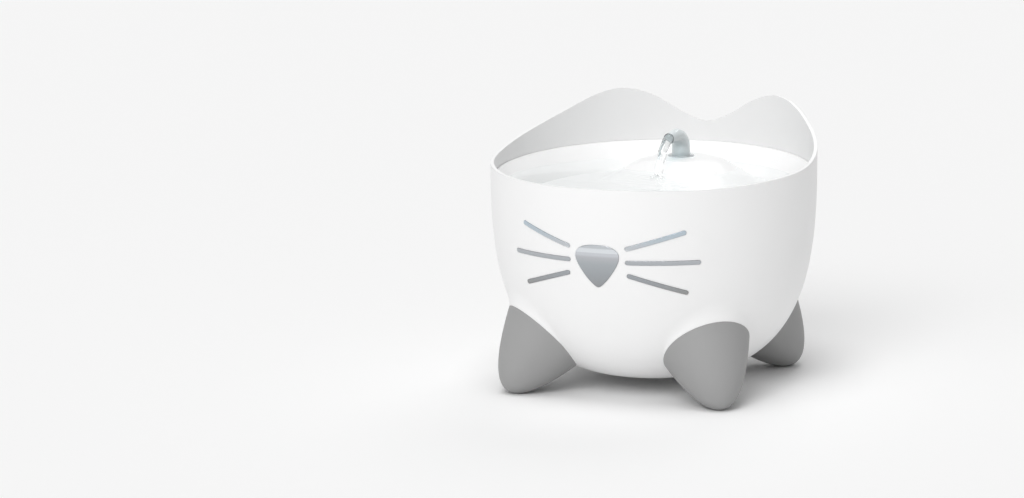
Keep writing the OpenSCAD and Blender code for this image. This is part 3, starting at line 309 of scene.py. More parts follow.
def join_roots(form):
    """Divides the bowl's outside round the leg roots finely and draws it onto the soft join"""
    for finest in ROOT_EDGES:
        zone = []
        for face in form.faces:
            middle = face.calc_center_median() / MM
            wall = wall_side(middle)[0]
            if middle.z > ROOT_TOP or middle.z < ROOT_LOW or wall < -0.6:
                continue
            if math.hypot(middle.x, middle.y) < ROOT_NEAR:
                continue
            root = root_side(middle)[0]
            gap, way, depth = outside(middle)
            on_skin = abs(min(wall, root)) < 0.6 and face.normal.dot(way) > 0.75
            if on_skin and depth > -0.1 and root - wall < 9:
                zone.append(face)
        long_edges = {e for f in zone for e in f.edges if e.calc_length() > finest * MM}
        if long_edges:
            bmesh.ops.subdivide_edges(form, edges=list(long_edges), cuts=1)
            bmesh.ops.triangulate(form, faces=[f for f in form.faces if len(f.verts) > 3])
    for vert in form.verts:
        place = vert.co / MM
        wall = wall_side(place)[0]
        if place.z > ROOT_TOP + 2 or place.z < ROOT_LOW or wall < -0.35:
            continue
        if math.hypot(place.x, place.y) < ROOT_NEAR:
            continue
        if abs(min(wall, root_side(place)[0])) > 0.35:
            continue
        way = outside(place)[1]
        if any(f.normal.dot(way) < 0.6 for f in vert.link_faces):
            continue
        for _ in range(4):
            gap, way, depth = outside(place)
            place = place - way * gap
        if depth > 0.05:
            vert.co = place * MM


def wall_normal(point, facet):
    """True direction of the bowl's outside and inside wall"""
    if point.z < 7.0 or math.hypot(point.x, point.y) < 1.0:
        return None
    if point.z < ROOT_TOP + 2:
        gap, way, depth = outside(point)
        if abs(gap) < 0.12 and way.dot(facet) > 0.8 and depth > 0.02:
            return way
    for inset, turn in ((0.0, 1.0), (BOWL_WALL, -1.0)):
        gap, way = wall_side(point, inset)
        if abs(gap) < 0.12 and way.dot(facet) * turn > 0.9:
            return way * turn
    return None


white_abs = moulded_plastic("white_abs", "#F7F7F7", 0.42, edge_mm=0.7)
bowl = skin("bowl", white_abs, reshape=join_roots, normal_at=wall_normal)
# The inside of the wall above the tray is a duller copy of the white, and its grey is painted shade: the
# plastic is the same as outside
bowl.data.materials.append(moulded_plastic("white_abs_painted_shade", "#ECECEC", 0.55, grain_mm=0.5, grain=0.08))
for face in bowl.data.polygons:
    middle = face.center / MM
    inward = -(face.normal.x * middle.x + face.normal.y * middle.y) / max(math.hypot(middle.x, middle.y), 1.0)
    if inward > 0.6 and abs(wall_side(middle, BOWL_WALL)[0]) < 0.3:
        face.material_index = 1


# ---- Feet -----------------------------------------------------------------------------
# Four slanted cones of grey soft-touch plastic, pressed on the bowl's leg roots.
# Their skin is duller than the bowl's, with a fine even grain.

foot_plastic = moulded_plastic("grey_soft_touch", "#9C9C9C", 0.62, grain_mm=0.35, grain=0.08)
TOE_OUT = 110.0
FOOT_FLAT = 0.45
FOOT_AROUND, FOOT_RINGS, FOOT_LIP = 96, 44, 0.5
BACK_RINGS = 10                                 # rings of the foot's back, which follows the bowl's wall
BACK_SINK = 0.4                                 # how far the back lies under the bowl's outside


def ring_faces(rings, around, first=0):
    """Quads between rings of points that follow each other"""
    return [(first + i * around + j, first + i * around + (j + 1) % around,
             first + (i + 1) * around + (j + 1) % around, first + (i + 1) * around + j)
            for i in range(rings - 1) for j in range(around)]


def outward(piece):
    """Merges doubled points and turns all faces outwards"""
    form = bmesh.new()
    form.from_mesh(piece.data)
    bmesh.ops.remove_doubles(form, verts=form.verts, dist=0.001 * MM)
    bmesh.ops.recalc_face_normals(form, faces=form.faces)
    form.to_mesh(piece.data)
    form.free()
    return piece


def clear_of_wall(point, along):
    """Point moved along a direction until it lies no deeper than BACK_SINK under the bowl's outside"""
    for _ in range(6):
        gap, slope = wall_side(point)
        if gap < -BACK_SINK:
            point = point - along * ((gap + BACK_SINK) / along.dot(slope))
    return point


def foot(name, turn):
    """Slanted cone with a round toe, a rounded upper edge, a flattened sole and a back along the wall"""
    rise = LEG_R * math.cos(LEG_LEAN)
    total = LEG_Z + FOOT_FLAT
    toe_z = LEG_Z - (total + math.sqrt(total * total - rise * rise)) / 2
    out = Vector((math.sin(turn), -math.cos(turn), 0))
    across = Vector((math.cos(turn), math.sin(turn), 0))
    root = out * LEG_OUT + Vector((0, 0, LEG_Z))
    way = out * TOE_OUT + Vector((0, 0, toe_z)) - root
    up = out * math.sin(LEG_LEAN) + Vector((0, 0, math.cos(LEG_LEAN)))
    rings = []
    for k in range(5):
        a = math.pi / 2 * k / 4
        t = FOOT_LIP * (1 - math.cos(a)) / way.length
        rings.append((t, LEG_R * math.sqrt(1 - t) - FOOT_LIP * (1 - math.sin(a))))
    for i in range(1, FOOT_RINGS):
        t = math.sin(math.pi / 2 * i / FOOT_RINGS) ** 2
        if t > rings[4][0]:
            rings.append((t, LEG_R * math.sqrt(1 - t)))
    back = [(0.0, (LEG_R - FOOT_LIP) * k / BACK_RINGS) for k in range(1, BACK_RINGS)]
    rings = back + rings
    points = [root + way * t + (up * math.cos(b) + across * math.sin(b)) * r
              for t, r in rings for b in (math.tau * j / FOOT_AROUND for j in range(FOOT_AROUND))]
    last = len(points)
    points = [clear_of_wall(p, way.normalized()) for p in points + [root]] + [root + way]
    faces = ring_faces(len(rings), FOOT_AROUND)
    faces += [(last, (j + 1) % FOOT_AROUND, j) for j in range(FOOT_AROUND)]
    faces += [(last + 1, last - FOOT_AROUND + j, last - FOOT_AROUND + (j + 1) % FOOT_AROUND)
              for j in range(FOOT_AROUND)]
    points = [Vector((p.x, p.y, max(p.z, 0.0))) * MM for p in points]
    piece = outward(mesh_object(name + "_shape", points, faces, foot_plastic))
    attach(piece, "base")
    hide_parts(name)


for name, turn in (("foot_front_right", 45), ("foot_front_left", -45),
                   ("foot_rear_right", 135), ("foot_rear_left", -135)):
    foot(name, math.radians(turn))


# ---- Nose and whiskers ----------------------------------------------------------------
# Seven inlays of bright metallised ABS, pressed into shallow recesses of the bowl, as
# smooth as the mould.

def metal(name, colour, roughness, grain_mm=0.4, grain=0.02, edge_mm=0.0, tones=()):
    """Bright metal or metal layer with fine wear in its gloss; tones are colours at heights in mm"""
    material, tree, output = new_material(name)
    place = add_node(tree, "ShaderNodeTexCoord")
    fine = add_node(tree, "ShaderNodeTexNoise",
                    inputs={"Vector": place.outputs["Object"], "Scale": 1000 / grain_mm, "Detail": 3.0})
    gloss = add_node(tree, "ShaderNodeMapRange",
                     inputs={"Value": fine.outputs[0], "To Min": roughness * 0.8, "To Max": roughness * 1.2})
    bump = add_node(tree, "ShaderNodeBump",
                    inputs={"Strength": grain, "Distance": 0.05 * MM, "Height": fine.outputs[0]})
    if edge_mm:
        edge = add_node(tree, "ShaderNodeBevel", {"samples": 6}, {"Radius": edge_mm * MM})
        tree.links.new(edge.outputs[0], bump.inputs["Normal"])
    shader = add_node(tree, "ShaderNodeBsdfPrincipled",
                      inputs={"Base Color": linear(colour), "Metallic": 1.0, "Roughness": gloss.outputs[0],
                              "Normal": bump.outputs[0]})
    if tones:
        height = add_node(tree, "ShaderNodeSeparateXYZ", inputs={0: place.outputs["Object"]})
        low, high = tones[0][0] * MM, tones[-1][0] * MM
        share = add_node(tree, "ShaderNodeMapRange",
                         inputs={"Value": height.outputs["Z"], "From Min": low, "From Max": high})
        ramp = add_node(tree, "ShaderNodeValToRGB", inputs={"Fac": share.outputs[0]})
        stops = ramp.color_ramp.elements
        while len(stops) < len(tones):
            stops.new(1.0)
        for stop, (z, tone) in zip(stops, tones):
            stop.position = (z * MM - low) / (high - low)
            stop.color = linear(tone)
        tree.links.new(ramp.outputs["Color"], shader.inputs["Base Color"])
    tree.links.new(shader.outputs[0], output.inputs["Surface"])
    return material


# What the inlays mirror of the room, painted as 13 tones by height.  The tones were read off
# the nose and whiskers in the photograph at about these heights and made some 3 levels lighter.
SILVER_TONES = ((78, "#949492"), (86, "#A0A3A6"), (92, "#A6AAAE"), (99.5, "#AFB4B8"), (103.9, "#BDBFC3"),
                (105.5, "#CED1D6"), (107.0, "#D0D3D8"), (107.3, "#E2E6EA"), (109.6, "#E0E4E8"),
                (110.4, "#C8CCD0"), (113.0, "#C6CBD0"), (116.0, "#C0CAD1"), (124.0, "#BAC8D2"))
silver = metal("metallised_abs", "#B4BBC2", 0.2, edge_mm=0.25, tones=SILVER_TONES)
for node in ["nose"] + ["whisker_%s_%s" % (side, level) for side in ("right", "left")
                        for level in ("upper", "middle", "lower")]:
    skin(node, silver, normal_at=wall_normal)


# ---- Nose light -----------------------------------------------------------------------
# A small lacquered board with three lamps behind the nose, sealed by a gasket and a
# screwed cover.  Nothing of it shows until the tray is out.

def board_lacquer(name, colour):
    """Solder lacquer over copper tracks: smooth, with faint raised lines"""
    material, tree, output = new_material(name)
    place = add_node(tree, "ShaderNodeTexCoord")
    tracks = add_node(tree, "ShaderNodeTexBrick", {"offset": 0.37},
                      {"Vector": place.outputs["Object"], "Scale": 260.0, "Mortar Size": 0.035,
                       "Color1": linear(colour), "Color2": linear(colour), "Mortar": linear("#4F9A72")})
    bump = add_node(tree, "ShaderNodeBump",
                    inputs={"Strength": 0.3, "Distance": 0.05 * MM, "Height": tracks.outputs["Fac"]})
    shader = add_node(tree, "ShaderNodeBsdfPrincipled",
                      inputs={"Base Color": tracks.outputs["Color"], "Roughness": 0.3,
                              "Normal": bump.outputs[0]})
    tree.links.new(shader.outputs[0], output.inputs["Surface"])
    return material


def rubber(name, colour, roughness=0.7):
    """Moulded rubber: dull, with a fine powdery grain"""
    material, tree, output = new_material(name)
    place = add_node(tree, "ShaderNodeTexCoord")
    grain = add_node(tree, "ShaderNodeTexNoise",
                     inputs={"Vector": place.outputs["Object"], "Scale": 2500.0, "Detail": 4.0})
    base = linear(colour)
    shade = add_node(tree, "ShaderNodeMixRGB", inputs={"Fac": grain.outputs[0], "Color1": base,
                                                       "Color2": tuple(1.25 * c for c in base[:3]) + (1.0,)})
    bump = add_node(tree, "ShaderNodeBump",
                    inputs={"Strength": 0.25, "Distance": 0.1 * MM, "Height": grain.outputs[0]})
    shader = add_node(tree, "ShaderNodeBsdfPrincipled",
                      inputs={"Base Color": shade.outputs[0], "Roughness": roughness,
                              "Normal": bump.outputs[0]})
    tree.links.new(shader.outputs[0], output.inputs["Surface"])
    return material


black_rubber = rubber("black_rubber", "#3A3B3D")
green_board = board_lacquer("green_solder_lacquer", "#22634A")
steel = metal("stainless_steel", "#B9BDC1", 0.3)
inner_white = moulded_plastic("white_abs_inside", "#E9E9E7", 0.5)
skin("nose_light_board", green_board)
skin("nose_light_gasket", black_rubber)
skin("nose_light_cover", inner_white)
skin("nose_cover_screws", steel)


# ---- Cable gland and leads ------------------------------------------------------------
# The gland is pushed through the back wall.  Two round rubber leads run inside the bowl:
# from the pump up to the gland, and from the pump forward to the nose light.

skin("cable_gland", black_rubber)

INNER_R, INNER_H = BOWL_R - BOWL_WALL, ROUND_H - BOWL_WALL


def floor_height(r):
    """Height of the inside of the bowl at distance r from its axis"""
    return WALL_TOP - INNER_H * (1 - (r / INNER_R) ** 3) ** (1 / 3)


PUMP_Y, MOTOR_R = 30.0, 26.0
PUMP_BASE_Z = floor_height(PUMP_Y + 17) + 0.7 + 5.5
GLAND_Z = 117.0
NOSE_Z = 98.1
LEAD_ROOM = 6.5                                 # distance of the leads' middle from the bowl's inside


def lead_tree():
    """Geometry nodes: a round lead along a chain of points"""
    tree = bpy.data.node_groups.new("round_lead", "GeometryNodeTree")
    tree.interface.new_socket("Route", in_out="INPUT", socket_type="NodeSocketGeometry")
    tree.interface.new_socket("Radius", in_out="INPUT", socket_type="NodeSocketFloat")
    tree.interface.new_socket("Sheath", in_out="INPUT", socket_type="NodeSocketMaterial")
    tree.interface.new_socket("Lead", in_out="OUTPUT", socket_type="NodeSocketGeometry")
    start = tree.nodes.new("NodeGroupInput")
    line = add_node(tree, "GeometryNodeMeshToCurve", inputs={"Mesh": start.outputs["Route"]})
    smooth = add_node(tree, "GeometryNodeCurveSplineType", {"spline_type": "CATMULL_ROM"},
                      {"Curve": line.outputs["Curve"]})
    fine = add_node(tree, "GeometryNodeSetSplineResolution",
                    inputs={"Geometry": smooth.outputs["Curve"], "Resolution": 10})
    ring = add_node(tree, "GeometryNodeCurvePrimitiveCircle",
                    inputs={"Resolution": 20, "Radius": start.outputs["Radius"]})
    tube = add_node(tree, "GeometryNodeCurveToMesh",
                    inputs={"Curve": fine.outputs["Geometry"], "Profile Curve": ring.outputs["Curve"],
                            "Fill Caps": True})
    soft = add_node(tree, "GeometryNodeSetShadeSmooth", inputs={"Geometry": tube.outputs["Mesh"]})
    real = add_node(tree, "GeometryNodeRealizeInstances", inputs={"Geometry": soft.outputs["Geometry"]})
    dressed = add_node(tree, "GeometryNodeSetMaterial",
                       inputs={"Geometry": real.outputs["Geometry"], "Material": start.outputs["Sheath"]})
    end = tree.nodes.new("NodeGroupOutput")
    tree.links.new(dressed.outputs["Geometry"], end.inputs["Lead"])
    return tree


def grown(name, seed_mesh, tree, values):
    """Plain mesh that a geometry tree makes from a seed mesh; values are the tree's named inputs"""
    seed = bpy.data.objects.new(name + "_seed", seed_mesh)
    bpy.context.scene.collection.objects.link(seed)
    modifier = seed.modifiers.new("grow", "NODES")
    modifier.node_group = tree
    for item in tree.interface.items_tree:
        if item.item_type == "SOCKET" and item.in_out == "INPUT" and item.name in values:
            modifier[item.identifier] = values[item.name]
    seed.update_tag()
    evaluated = seed.evaluated_get(bpy.context.evaluated_depsgraph_get())
    mesh = bpy.data.meshes.new_from_object(evaluated)
    mesh.name = name
    seed.modifiers.remove(modifier)
    bpy.data.objects.remove(seed)
    piece = bpy.data.objects.new(name, mesh)
    bpy.context.scene.collection.objects.link(piece)
    return piece


lead_maker = lead_tree()


def lead(name, route, radius, sheath):
    """Lead through the points of its route"""
    chain = bpy.data.meshes.new(name + "_route")
    links = [(i, i + 1) for i in range(len(route) - 1)]
    chain.from_pydata([tuple(c * MM for c in p) for p in route], links, [])
    piece = grown(name + "_sheath", chain, lead_maker, {"Radius": radius * MM, "Sheath": sheath})
    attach(piece, "base")
    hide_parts(name)


grey_sheath = rubber("grey_sheath", "#55575A", 0.55)

start_y = PUMP_Y + MOTOR_R + 0.2
low_z = PUMP_BASE_Z + 9
end_y = wall_radius(GLAND_Z - 7.5, BOWL_WALL) - 0.5 - 2.2
route = [(0, start_y + away, low_z) for away in (0, 3, 6)] + [(0, start_y + 14, low_z + 4)]
route += [(0, wall_radius(share * GLAND_Z, BOWL_WALL) - 1.2 * LEAD_ROOM, share * GLAND_Z)
          for share in (0.48, 0.68, 0.86)]
route += [(0, end_y - 5.5, GLAND_Z - 6), (0, end_y - 4.3, GLAND_Z - 1.6)]
route += [(0, end_y - 2.2, GLAND_Z), (0, end_y, GLAND_Z)]
lead("pump_lead", route, 1.9, grey_sheath)

boss_y = wall_radius(NOSE_Z, BOWL_WALL) - 9.5 - 0.8 - 0.1 - 3
front_y = PUMP_Y - MOTOR_R - 0.2
low_z = PUMP_BASE_Z + 6
route = [(0, -boss_y, NOSE_Z - 16 - drop) for drop in (0, 5, 10)]
route += [(0, LEAD_ROOM - wall_radius(share * NOSE_Z, BOWL_WALL), share * NOSE_Z) for share in (0.57, 0.39)]
route += [(0, -share * INNER_R, floor_height(share * INNER_R) + LEAD_ROOM) for share in (0.52, 0.33)]
route += [(0, front_y - 20, low_z - 2.4)] + [(0, front_y - away, low_z) for away in (9, 4, 0)]
lead("nose_lead", route, 1.2, grey_sheath)


# ---- Pump -----------------------------------------------------------------------------
# A sealed motor pot on four suction cups, with the impeller's chamber screwed on top.
# Base, pot and cover are off-white polymer, the cups clear silicone, seals and bushes rubber.

def clear_plastic(name, colour, roughness=0.03, ior=1.49, clear=1.0):
    """Clear moulded plastic that lets light through to what stands behind it; below 1 it is milky"""
    material, tree, output = new_material(name)
    place = add_node(tree, "ShaderNodeTexCoord")
    flow = add_node(tree, "ShaderNodeTexNoise",
                    inputs={"Vector": place.outputs["Object"], "Scale": 120.0, "Detail": 2.0})
    bump = add_node(tree, "ShaderNodeBump",
                    inputs={"Strength": 0.05, "Distance": 0.2 * MM, "Height": flow.outputs[0]})
    shader = add_node(tree, "ShaderNodeBsdfPrincipled",
                      inputs={"Base Color": linear(colour), "Roughness": roughness, "IOR": ior,
                              "Transmission Weight": clear, "Normal": bump.outputs[0]})
    through = add_node(tree, "ShaderNodeBsdfTransparent", inputs={"Color": linear("#E8EEF0")})
    ray = add_node(tree, "ShaderNodeLightPath")
    mixed = add_node(tree, "ShaderNodeMixShader",
                     inputs={0: ray.outputs["Is Shadow Ray"], 1: shader.outputs[0], 2: through.outputs[0]})
    tree.links.new(mixed.outputs[0], output.inputs["Surface"])
    return material


def banded_metal(name, colour, pitch_mm, direction="Z", roughness=0.35):
    """Metal in layers or turns: stacked sheets, or a winding of wire, with painted shade in the grooves
    between them
    """
    material, tree, output = new_material(name)
    place = add_node(tree, "ShaderNodeTexCoord")
    bands = add_node(tree, "ShaderNodeTexWave", {"bands_direction": direction},
                     {"Vector": place.outputs["Object"], "Scale": 1000 / pitch_mm / 20, "Distortion": 0.0})
    base = linear(colour)
    # Painted shade: the bands' grooves go down to 0.45 of the metal's colour
    shade = add_node(tree, "ShaderNodeMixRGB", inputs={"Fac": bands.outputs["Fac"], "Color2": base,
                                                       "Color1": tuple(0.45 * c for c in base[:3]) + (1.0,)})
    bump = add_node(tree, "ShaderNodeBump",
                    inputs={"Strength": 0.6, "Distance": 0.2 * MM, "Height": bands.outputs["Fac"]})
    shader = add_node(tree, "ShaderNodeBsdfPrincipled",
                      inputs={"Base Color": shade.outputs[0], "Metallic": 1.0, "Roughness": roughness,
                              "Normal": bump.outputs[0]})
    tree.links.new(shader.outputs[0], output.inputs["Surface"])
    return material


pump_white = moulded_plastic("pump_abs", "#DADCDD", 0.45, edge_mm=0.3)
blue_grey = moulded_plastic("blue_grey_acetal", "#7D8C99", 0.4, edge_mm=0.2)
ceramic = moulded_plastic("polished_ceramic", "#ECE9E2", 0.15, grain=0.01)
ferrite = rubber("sintered_ferrite", "#2E2E30", 0.5)
silicone = clear_plastic("clear_silicone", "#EEF3F4", 0.18, 1.41)
laminations = banded_metal("core_sheets", "#8E9296", 0.5)
winding = banded_metal("lacquered_copper", "#B06A35", 0.45)

for node, material, slot in (
        ("suction_cups", silicone, "clear_plastic"), ("motor_base", pump_white, "pump_plastic"),
        ("motor_housing", pump_white, "pump_plastic"), ("stator_core", laminations, "steel"),
        ("stator_coils", winding, "copper_wire"), ("driver_board", green_board, "circuit_board"),
        ("shaft_bush_lower", black_rubber, "black_rubber"), ("rotor_shaft", ceramic, "ceramic"),
        ("shaft_bush_upper", black_rubber, "black_rubber"), ("volute_seal", black_rubber, "black_rubber"),
        ("volute_cover", pump_white, "pump_plastic"), ("volute_screws", steel, "steel"),
        ("level_probes", steel, "steel"), ("nozzle_seal", black_rubber, "black_rubber"),
        ("rotor_magnet", ferrite, "magnet"), ("impeller", blue_grey, "blue_grey_plastic")):
    skin(node, material)


# ---- Strainer, sponge and dial --------------------------------------------------------
# The slotted strainer clips over the pump's inlet; an open-cell sponge ring hugs it and
# a dial on top opens and closes its four windows.

def foam(name, colour, cell_mm):
    """Open-cell foam: a net of thin struts round pores darkened with painted shade"""
    material, tree, output = new_material(name)
    place = add_node(tree, "ShaderNodeTexCoord")
    cells = add_node(tree, "ShaderNodeTexVoronoi", inputs={"Vector": place.outputs["Object"],
                                                           "Scale": 1000 / cell_mm})
    depth = add_node(tree, "ShaderNodeMapRange",
                     inputs={"Value": cells.outputs["Distance"], "From Min": 0.15, "From Max": 0.6})
    base = linear(colour)
    # Painted shade: the middles of the pores go down to a quarter of the foam's colour
    shade = add_node(tree, "ShaderNodeMixRGB", inputs={"Fac": depth.outputs[0], "Color2": base,
                                                       "Color1": tuple(0.25 * c for c in base[:3]) + (1.0,)})
    bump = add_node(tree, "ShaderNodeBump",
                    inputs={"Strength": 1.0, "Distance": 0.6 * MM, "Height": depth.outputs[0]})
    shader = add_node(tree, "ShaderNodeBsdfPrincipled",
                      inputs={"Base Color": shade.outputs[0], "Roughness": 0.9, "Normal": bump.outputs[0]})
    tree.links.new(shader.outputs[0], output.inputs["Surface"])
    return material


grey_foam = foam("grey_filter_foam", "#9AA3A8", 1.4)
blue_foam = foam("blue_filter_foam", "#7F9FB6", 1.6)
skin("strainer", pump_white)
skin("sponge_ring", grey_foam)
skin("flow_dial", blue_grey)


# ---- Tray -----------------------------------------------------------------------------
# A white ABS dish that lies on the bowl's ribs and slopes to the face.  A mound carries
# the spout, and a drain with a weir at the front leads down to the filter.

tray_abs = moulded_plastic("white_abs_polished", "#F4F4F4", 0.3, edge_mm=0.5)
skin("tray", tray_abs)
clear_tube = clear_plastic("clear_tube", "#EDF2F3", 0.05)
skin("riser_tube", clear_tube)


# ---- Filter ---------------------------------------------------------------------------
# A slotted basket pushed into the tray's collar holds a fleece cartridge with granules
# and a foam pad above it.

def fleece(name, colour):
    """Pressed fleece: short tangled fibres"""
    material, tree, output = new_material(name)
    place = add_node(tree, "ShaderNodeTexCoord")
    fibres = add_node(tree, "ShaderNodeTexNoise", inputs={"Vector": place.outputs["Object"], "Scale": 900.0,
                                                          "Detail": 8.0, "Distortion": 2.5})
    base = linear(colour)
    shade = add_node(tree, "ShaderNodeMixRGB", inputs={"Fac": fibres.outputs[0], "Color2": base,
                                                       "Color1": tuple(0.72 * c for c in base[:3]) + (1.0,)})
    bump = add_node(tree, "ShaderNodeBump",
                    inputs={"Strength": 0.8, "Distance": 0.4 * MM, "Height": fibres.outputs[0]})
    shader = add_node(tree, "ShaderNodeBsdfPrincipled",
                      inputs={"Base Color": shade.outputs[0], "Roughness": 0.95, "Normal": bump.outputs[0],
                              "Sheen Weight": 0.3})
    tree.links.new(shader.outputs[0], output.inputs["Surface"])
    return material


skin("filter_basket", pump_white)
skin("filter_cartridge", fleece("pressed_fleece", "#EDEDE8"))
skin("filter_foam", blue_foam)


# ---- Spout ----------------------------------------------------------------------------
# A clear acrylic elbow in a clear collar: the upright stands in the mound's socket on two
# seals, then bends forward and narrows to the mouth.

acrylic = clear_plastic("clear_acrylic", "#F4F7F8", 0.015)
milky = clear_plastic("milky_acrylic", "#F4F5F5", 0.1, clear=0.75)
skin("spout_collar", milky)
skin("spout_seals", black_rubber)

SPOUT_Y, SPOUT_R, SPOUT_WALL = 55.0, 6.5, 1.5
MOUND_Z = 146.3
SPOUT_FOOT_Z = MOUND_Z - 19 + 0.3
MOUTH_Z, MOUTH_REACH, MOUTH_R = 162.1, 25.0, 3.8
BEND_START_Z = MOUTH_Z - 9.5
MOUTH_WALL = 0.55                               # the wall runs out thin at the mouth
SPOUT_AROUND, BEND_RINGS = 48, 40
CUT_RIM_Y = 30.25                               # in front of this lies the mouth's cut rim


def eased(t):
    """Smooth step from 0 to 1"""
    t = min(max(t, 0.0), 1.0)
    return t * t * (3 - 2 * t)


def bend_centre(u):
    """Centre of the bend: 0 at the upright, 1 at the mouth"""
    a = math.pi / 2 * min(u / 0.62, 1)
    run = MOUTH_REACH * 0.5
    return Vector((0, SPOUT_Y - run * (1 - math.cos(a)) - max(0, u - 0.62) / 0.38 * (MOUTH_REACH - run),
                   BEND_START_Z + (MOUTH_Z - BEND_START_Z) * math.sin(a)))


def swept(centres, radii, around):
    """Rings of points round a path that lies in the YZ plane"""
    points = []
    for i, (centre, radius) in enumerate(zip(centres, radii)):
        way = (centres[min(i + 1, len(centres) - 1)] - centres[max(i - 1, 0)]).normalized()
        up = Vector((0, way.z, -way.y))
        points += [(centre + (Vector((1, 0, 0)) * math.cos(a) + up * math.sin(a)) * radius)
                   for a in (math.tau * j / around for j in range(around))]
    return points


path = [Vector((0, SPOUT_Y, SPOUT_FOOT_Z + (BEND_START_Z - SPOUT_FOOT_Z) * i / 12)) for i in range(12)]
path += [bend_centre(i / BEND_RINGS) for i in range(BEND_RINGS + 1)]
outer = [SPOUT_R] * 12 + [SPOUT_R + (MOUTH_R - SPOUT_R) * eased(i / BEND_RINGS)
                          for i in range(BEND_RINGS + 1)]
wall = [SPOUT_WALL] * 12 + [SPOUT_WALL + (MOUTH_WALL - SPOUT_WALL) * eased(i / BEND_RINGS)
                            for i in range(BEND_RINGS + 1)]
points = swept(path, outer, SPOUT_AROUND)
tip = path[-1]
ahead = (path[-1] - path[-2]).normalized()
lip_up = Vector((0, ahead.z, -ahead.y))
half = MOUTH_WALL / 2
turns = [math.pi * k / 8 for k in range(1, 8)]
lip_path = [tip + ahead * half * math.sin(t) for t in turns]
lip_radii = [MOUTH_R - half + half * math.cos(t) for t in turns]
for centre, radius in zip(lip_path, lip_radii):
    points += [centre + (Vector((1, 0, 0)) * math.cos(a) + lip_up * math.sin(a)) * radius
               for a in (math.tau * j / SPOUT_AROUND for j in range(SPOUT_AROUND))]
inner = [r - w for r, w in zip(outer, wall)]
back = swept(path, inner, SPOUT_AROUND)
for i in range(len(path) - 1, -1, -1):
    points += back[i * SPOUT_AROUND:(i + 1) * SPOUT_AROUND]
rings = len(points) // SPOUT_AROUND
faces = ring_faces(rings, SPOUT_AROUND)
faces += [((rings - 1) * SPOUT_AROUND + j, (rings - 1) * SPOUT_AROUND + (j + 1) % SPOUT_AROUND,
           (j + 1) % SPOUT_AROUND, j) for j in range(SPOUT_AROUND)]
spout = outward(mesh_object("spout_elbow", [p * MM for p in points], faces, acrylic))
# The cut rim of the mouth is painted dark grey: painted shade for the dark of the tube's inside that shows in
# it
spout.data.materials.append(clear_plastic("clear_acrylic_rim_painted_shade", "#6E7376", 0.1, clear=0.6))
for face in spout.data.polygons:
    face.material_index = 1 if face.center.y < CUT_RIM_Y * MM else 0
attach(spout, "spout_part")
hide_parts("spout")


# ---- Water ----------------------------------------------------------------------------
# Clear water: a stream that falls from the mouth in an arc, and the pool in the tray with
# rings that run out from where the stream lands.

def water_material(name, tone, roughness=0.0, clear=1.0, open_share=0.0,
                   edge=None, edge_z=(0, 1), rim=(0.4, 1)):
    """Water, open to light and shade.  open_share is how much of it the eye looks straight through; edge is a
    tone painted on its turned-away edges, over the share rim of the turn and the heights edge_z: a painted
    highlight where it is light, painted shade where it is dark."""
    material, tree, output = new_material(name)
    shader = add_node(tree, "ShaderNodeBsdfPrincipled",
                      inputs={"Base Color": linear(tone), "Roughness": roughness, "IOR": 1.333,
                              "Transmission Weight": clear})
    if edge:
        place = add_node(tree, "ShaderNodeTexCoord")
        axes = add_node(tree, "ShaderNodeSeparateXYZ", inputs={0: place.outputs["Object"]})
        above = add_node(tree, "ShaderNodeMapRange", {"interpolation_type": "SMOOTHSTEP"},
                         {"Value": axes.outputs["Z"],
                          "From Min": edge_z[0] * MM, "From Max": edge_z[1] * MM})
        facing = add_node(tree, "ShaderNodeLayerWeight", inputs={"Blend": 0.5})
        turned = add_node(tree, "ShaderNodeMapRange", {"interpolation_type": "SMOOTHSTEP"},
                          {"Value": facing.outputs["Facing"], "From Min": rim[0], "From Max": rim[1]})
        share = add_node(tree, "ShaderNodeMath", {"operation": "MULTIPLY"},
                         {0: above.outputs[0], 1: turned.outputs[0]})
        # The edge tone is painted: a highlight where edge is light, shade where it is dark
        painted_edge_tint = add_node(tree, "ShaderNodeMixRGB", inputs={"Fac": share.outputs[0], "Color1": linear(tone),
                                                          "Color2": linear(edge)})
        tree.links.new(painted_edge_tint.outputs[0], shader.inputs["Base Color"])
    through = add_node(tree, "ShaderNodeBsdfTransparent", inputs={"Color": linear("#FDFEFE")})
    ray = add_node(tree, "ShaderNodeLightPath")
    open_ray = add_node(tree, "ShaderNodeMath", {"operation": "MAXIMUM"},
                        {0: ray.outputs["Is Shadow Ray"], 1: ray.outputs["Is Diffuse Ray"]})
    open_ray = add_node(tree, "ShaderNodeMath", {"operation": "MAXIMUM"},
                        {0: open_ray.outputs[0], 1: open_share})
    mixed = add_node(tree, "ShaderNodeMixShader",
                     inputs={0: open_ray.outputs[0], 1: shader.outputs[0], 2: through.outputs[0]})
    tree.links.new(mixed.outputs[0], output.inputs["Surface"])
    return material


pool_water = water_material("pool_water", "#FDFEFE", open_share=0.75)
# Painted highlight: the grey, half-clear water in the tube is painted white on its turned-away edges
tube_water = water_material("grey_tube_water", "#DEE0E0", roughness=0.12, clear=0.45,
                            edge="#FFFFFF", rim=(0.15, 0.45))
# Painted shade: the stream's turned-away edges are painted near black close to the mouth, fading out lower
# down
stream_water = water_material("stream_water", "#FDFEFE", edge="#1A1C1E", edge_z=(146, 158), rim=(0.45, 0.9))

WATER_Z = 138.5
TRAY_Z, TRAY_TILT = 144.4, math.radians(2.7)
BASIN_DEPTH, BASIN_SIDE = 17.0, 16.0
BASIN_R = 108.4 - 0.3 - 3.0
LANDING = Vector((0, 7.5, 0))


def basin_drop(r):
    """Depth of the basin's side under the tray's edge at radius r"""
    low, high = 0.0, 1.0
    for _ in range(30):
        k = (low + high) / 2
        if BASIN_R - BASIN_SIDE * math.sin(math.pi / 2 * k) * (0.25 + 0.75 * k) > r:
            low = k
        else:
            high = k
    return BASIN_DEPTH * (0.6 * (1 - math.cos(math.pi / 2 * low)) + 0.4 * low)


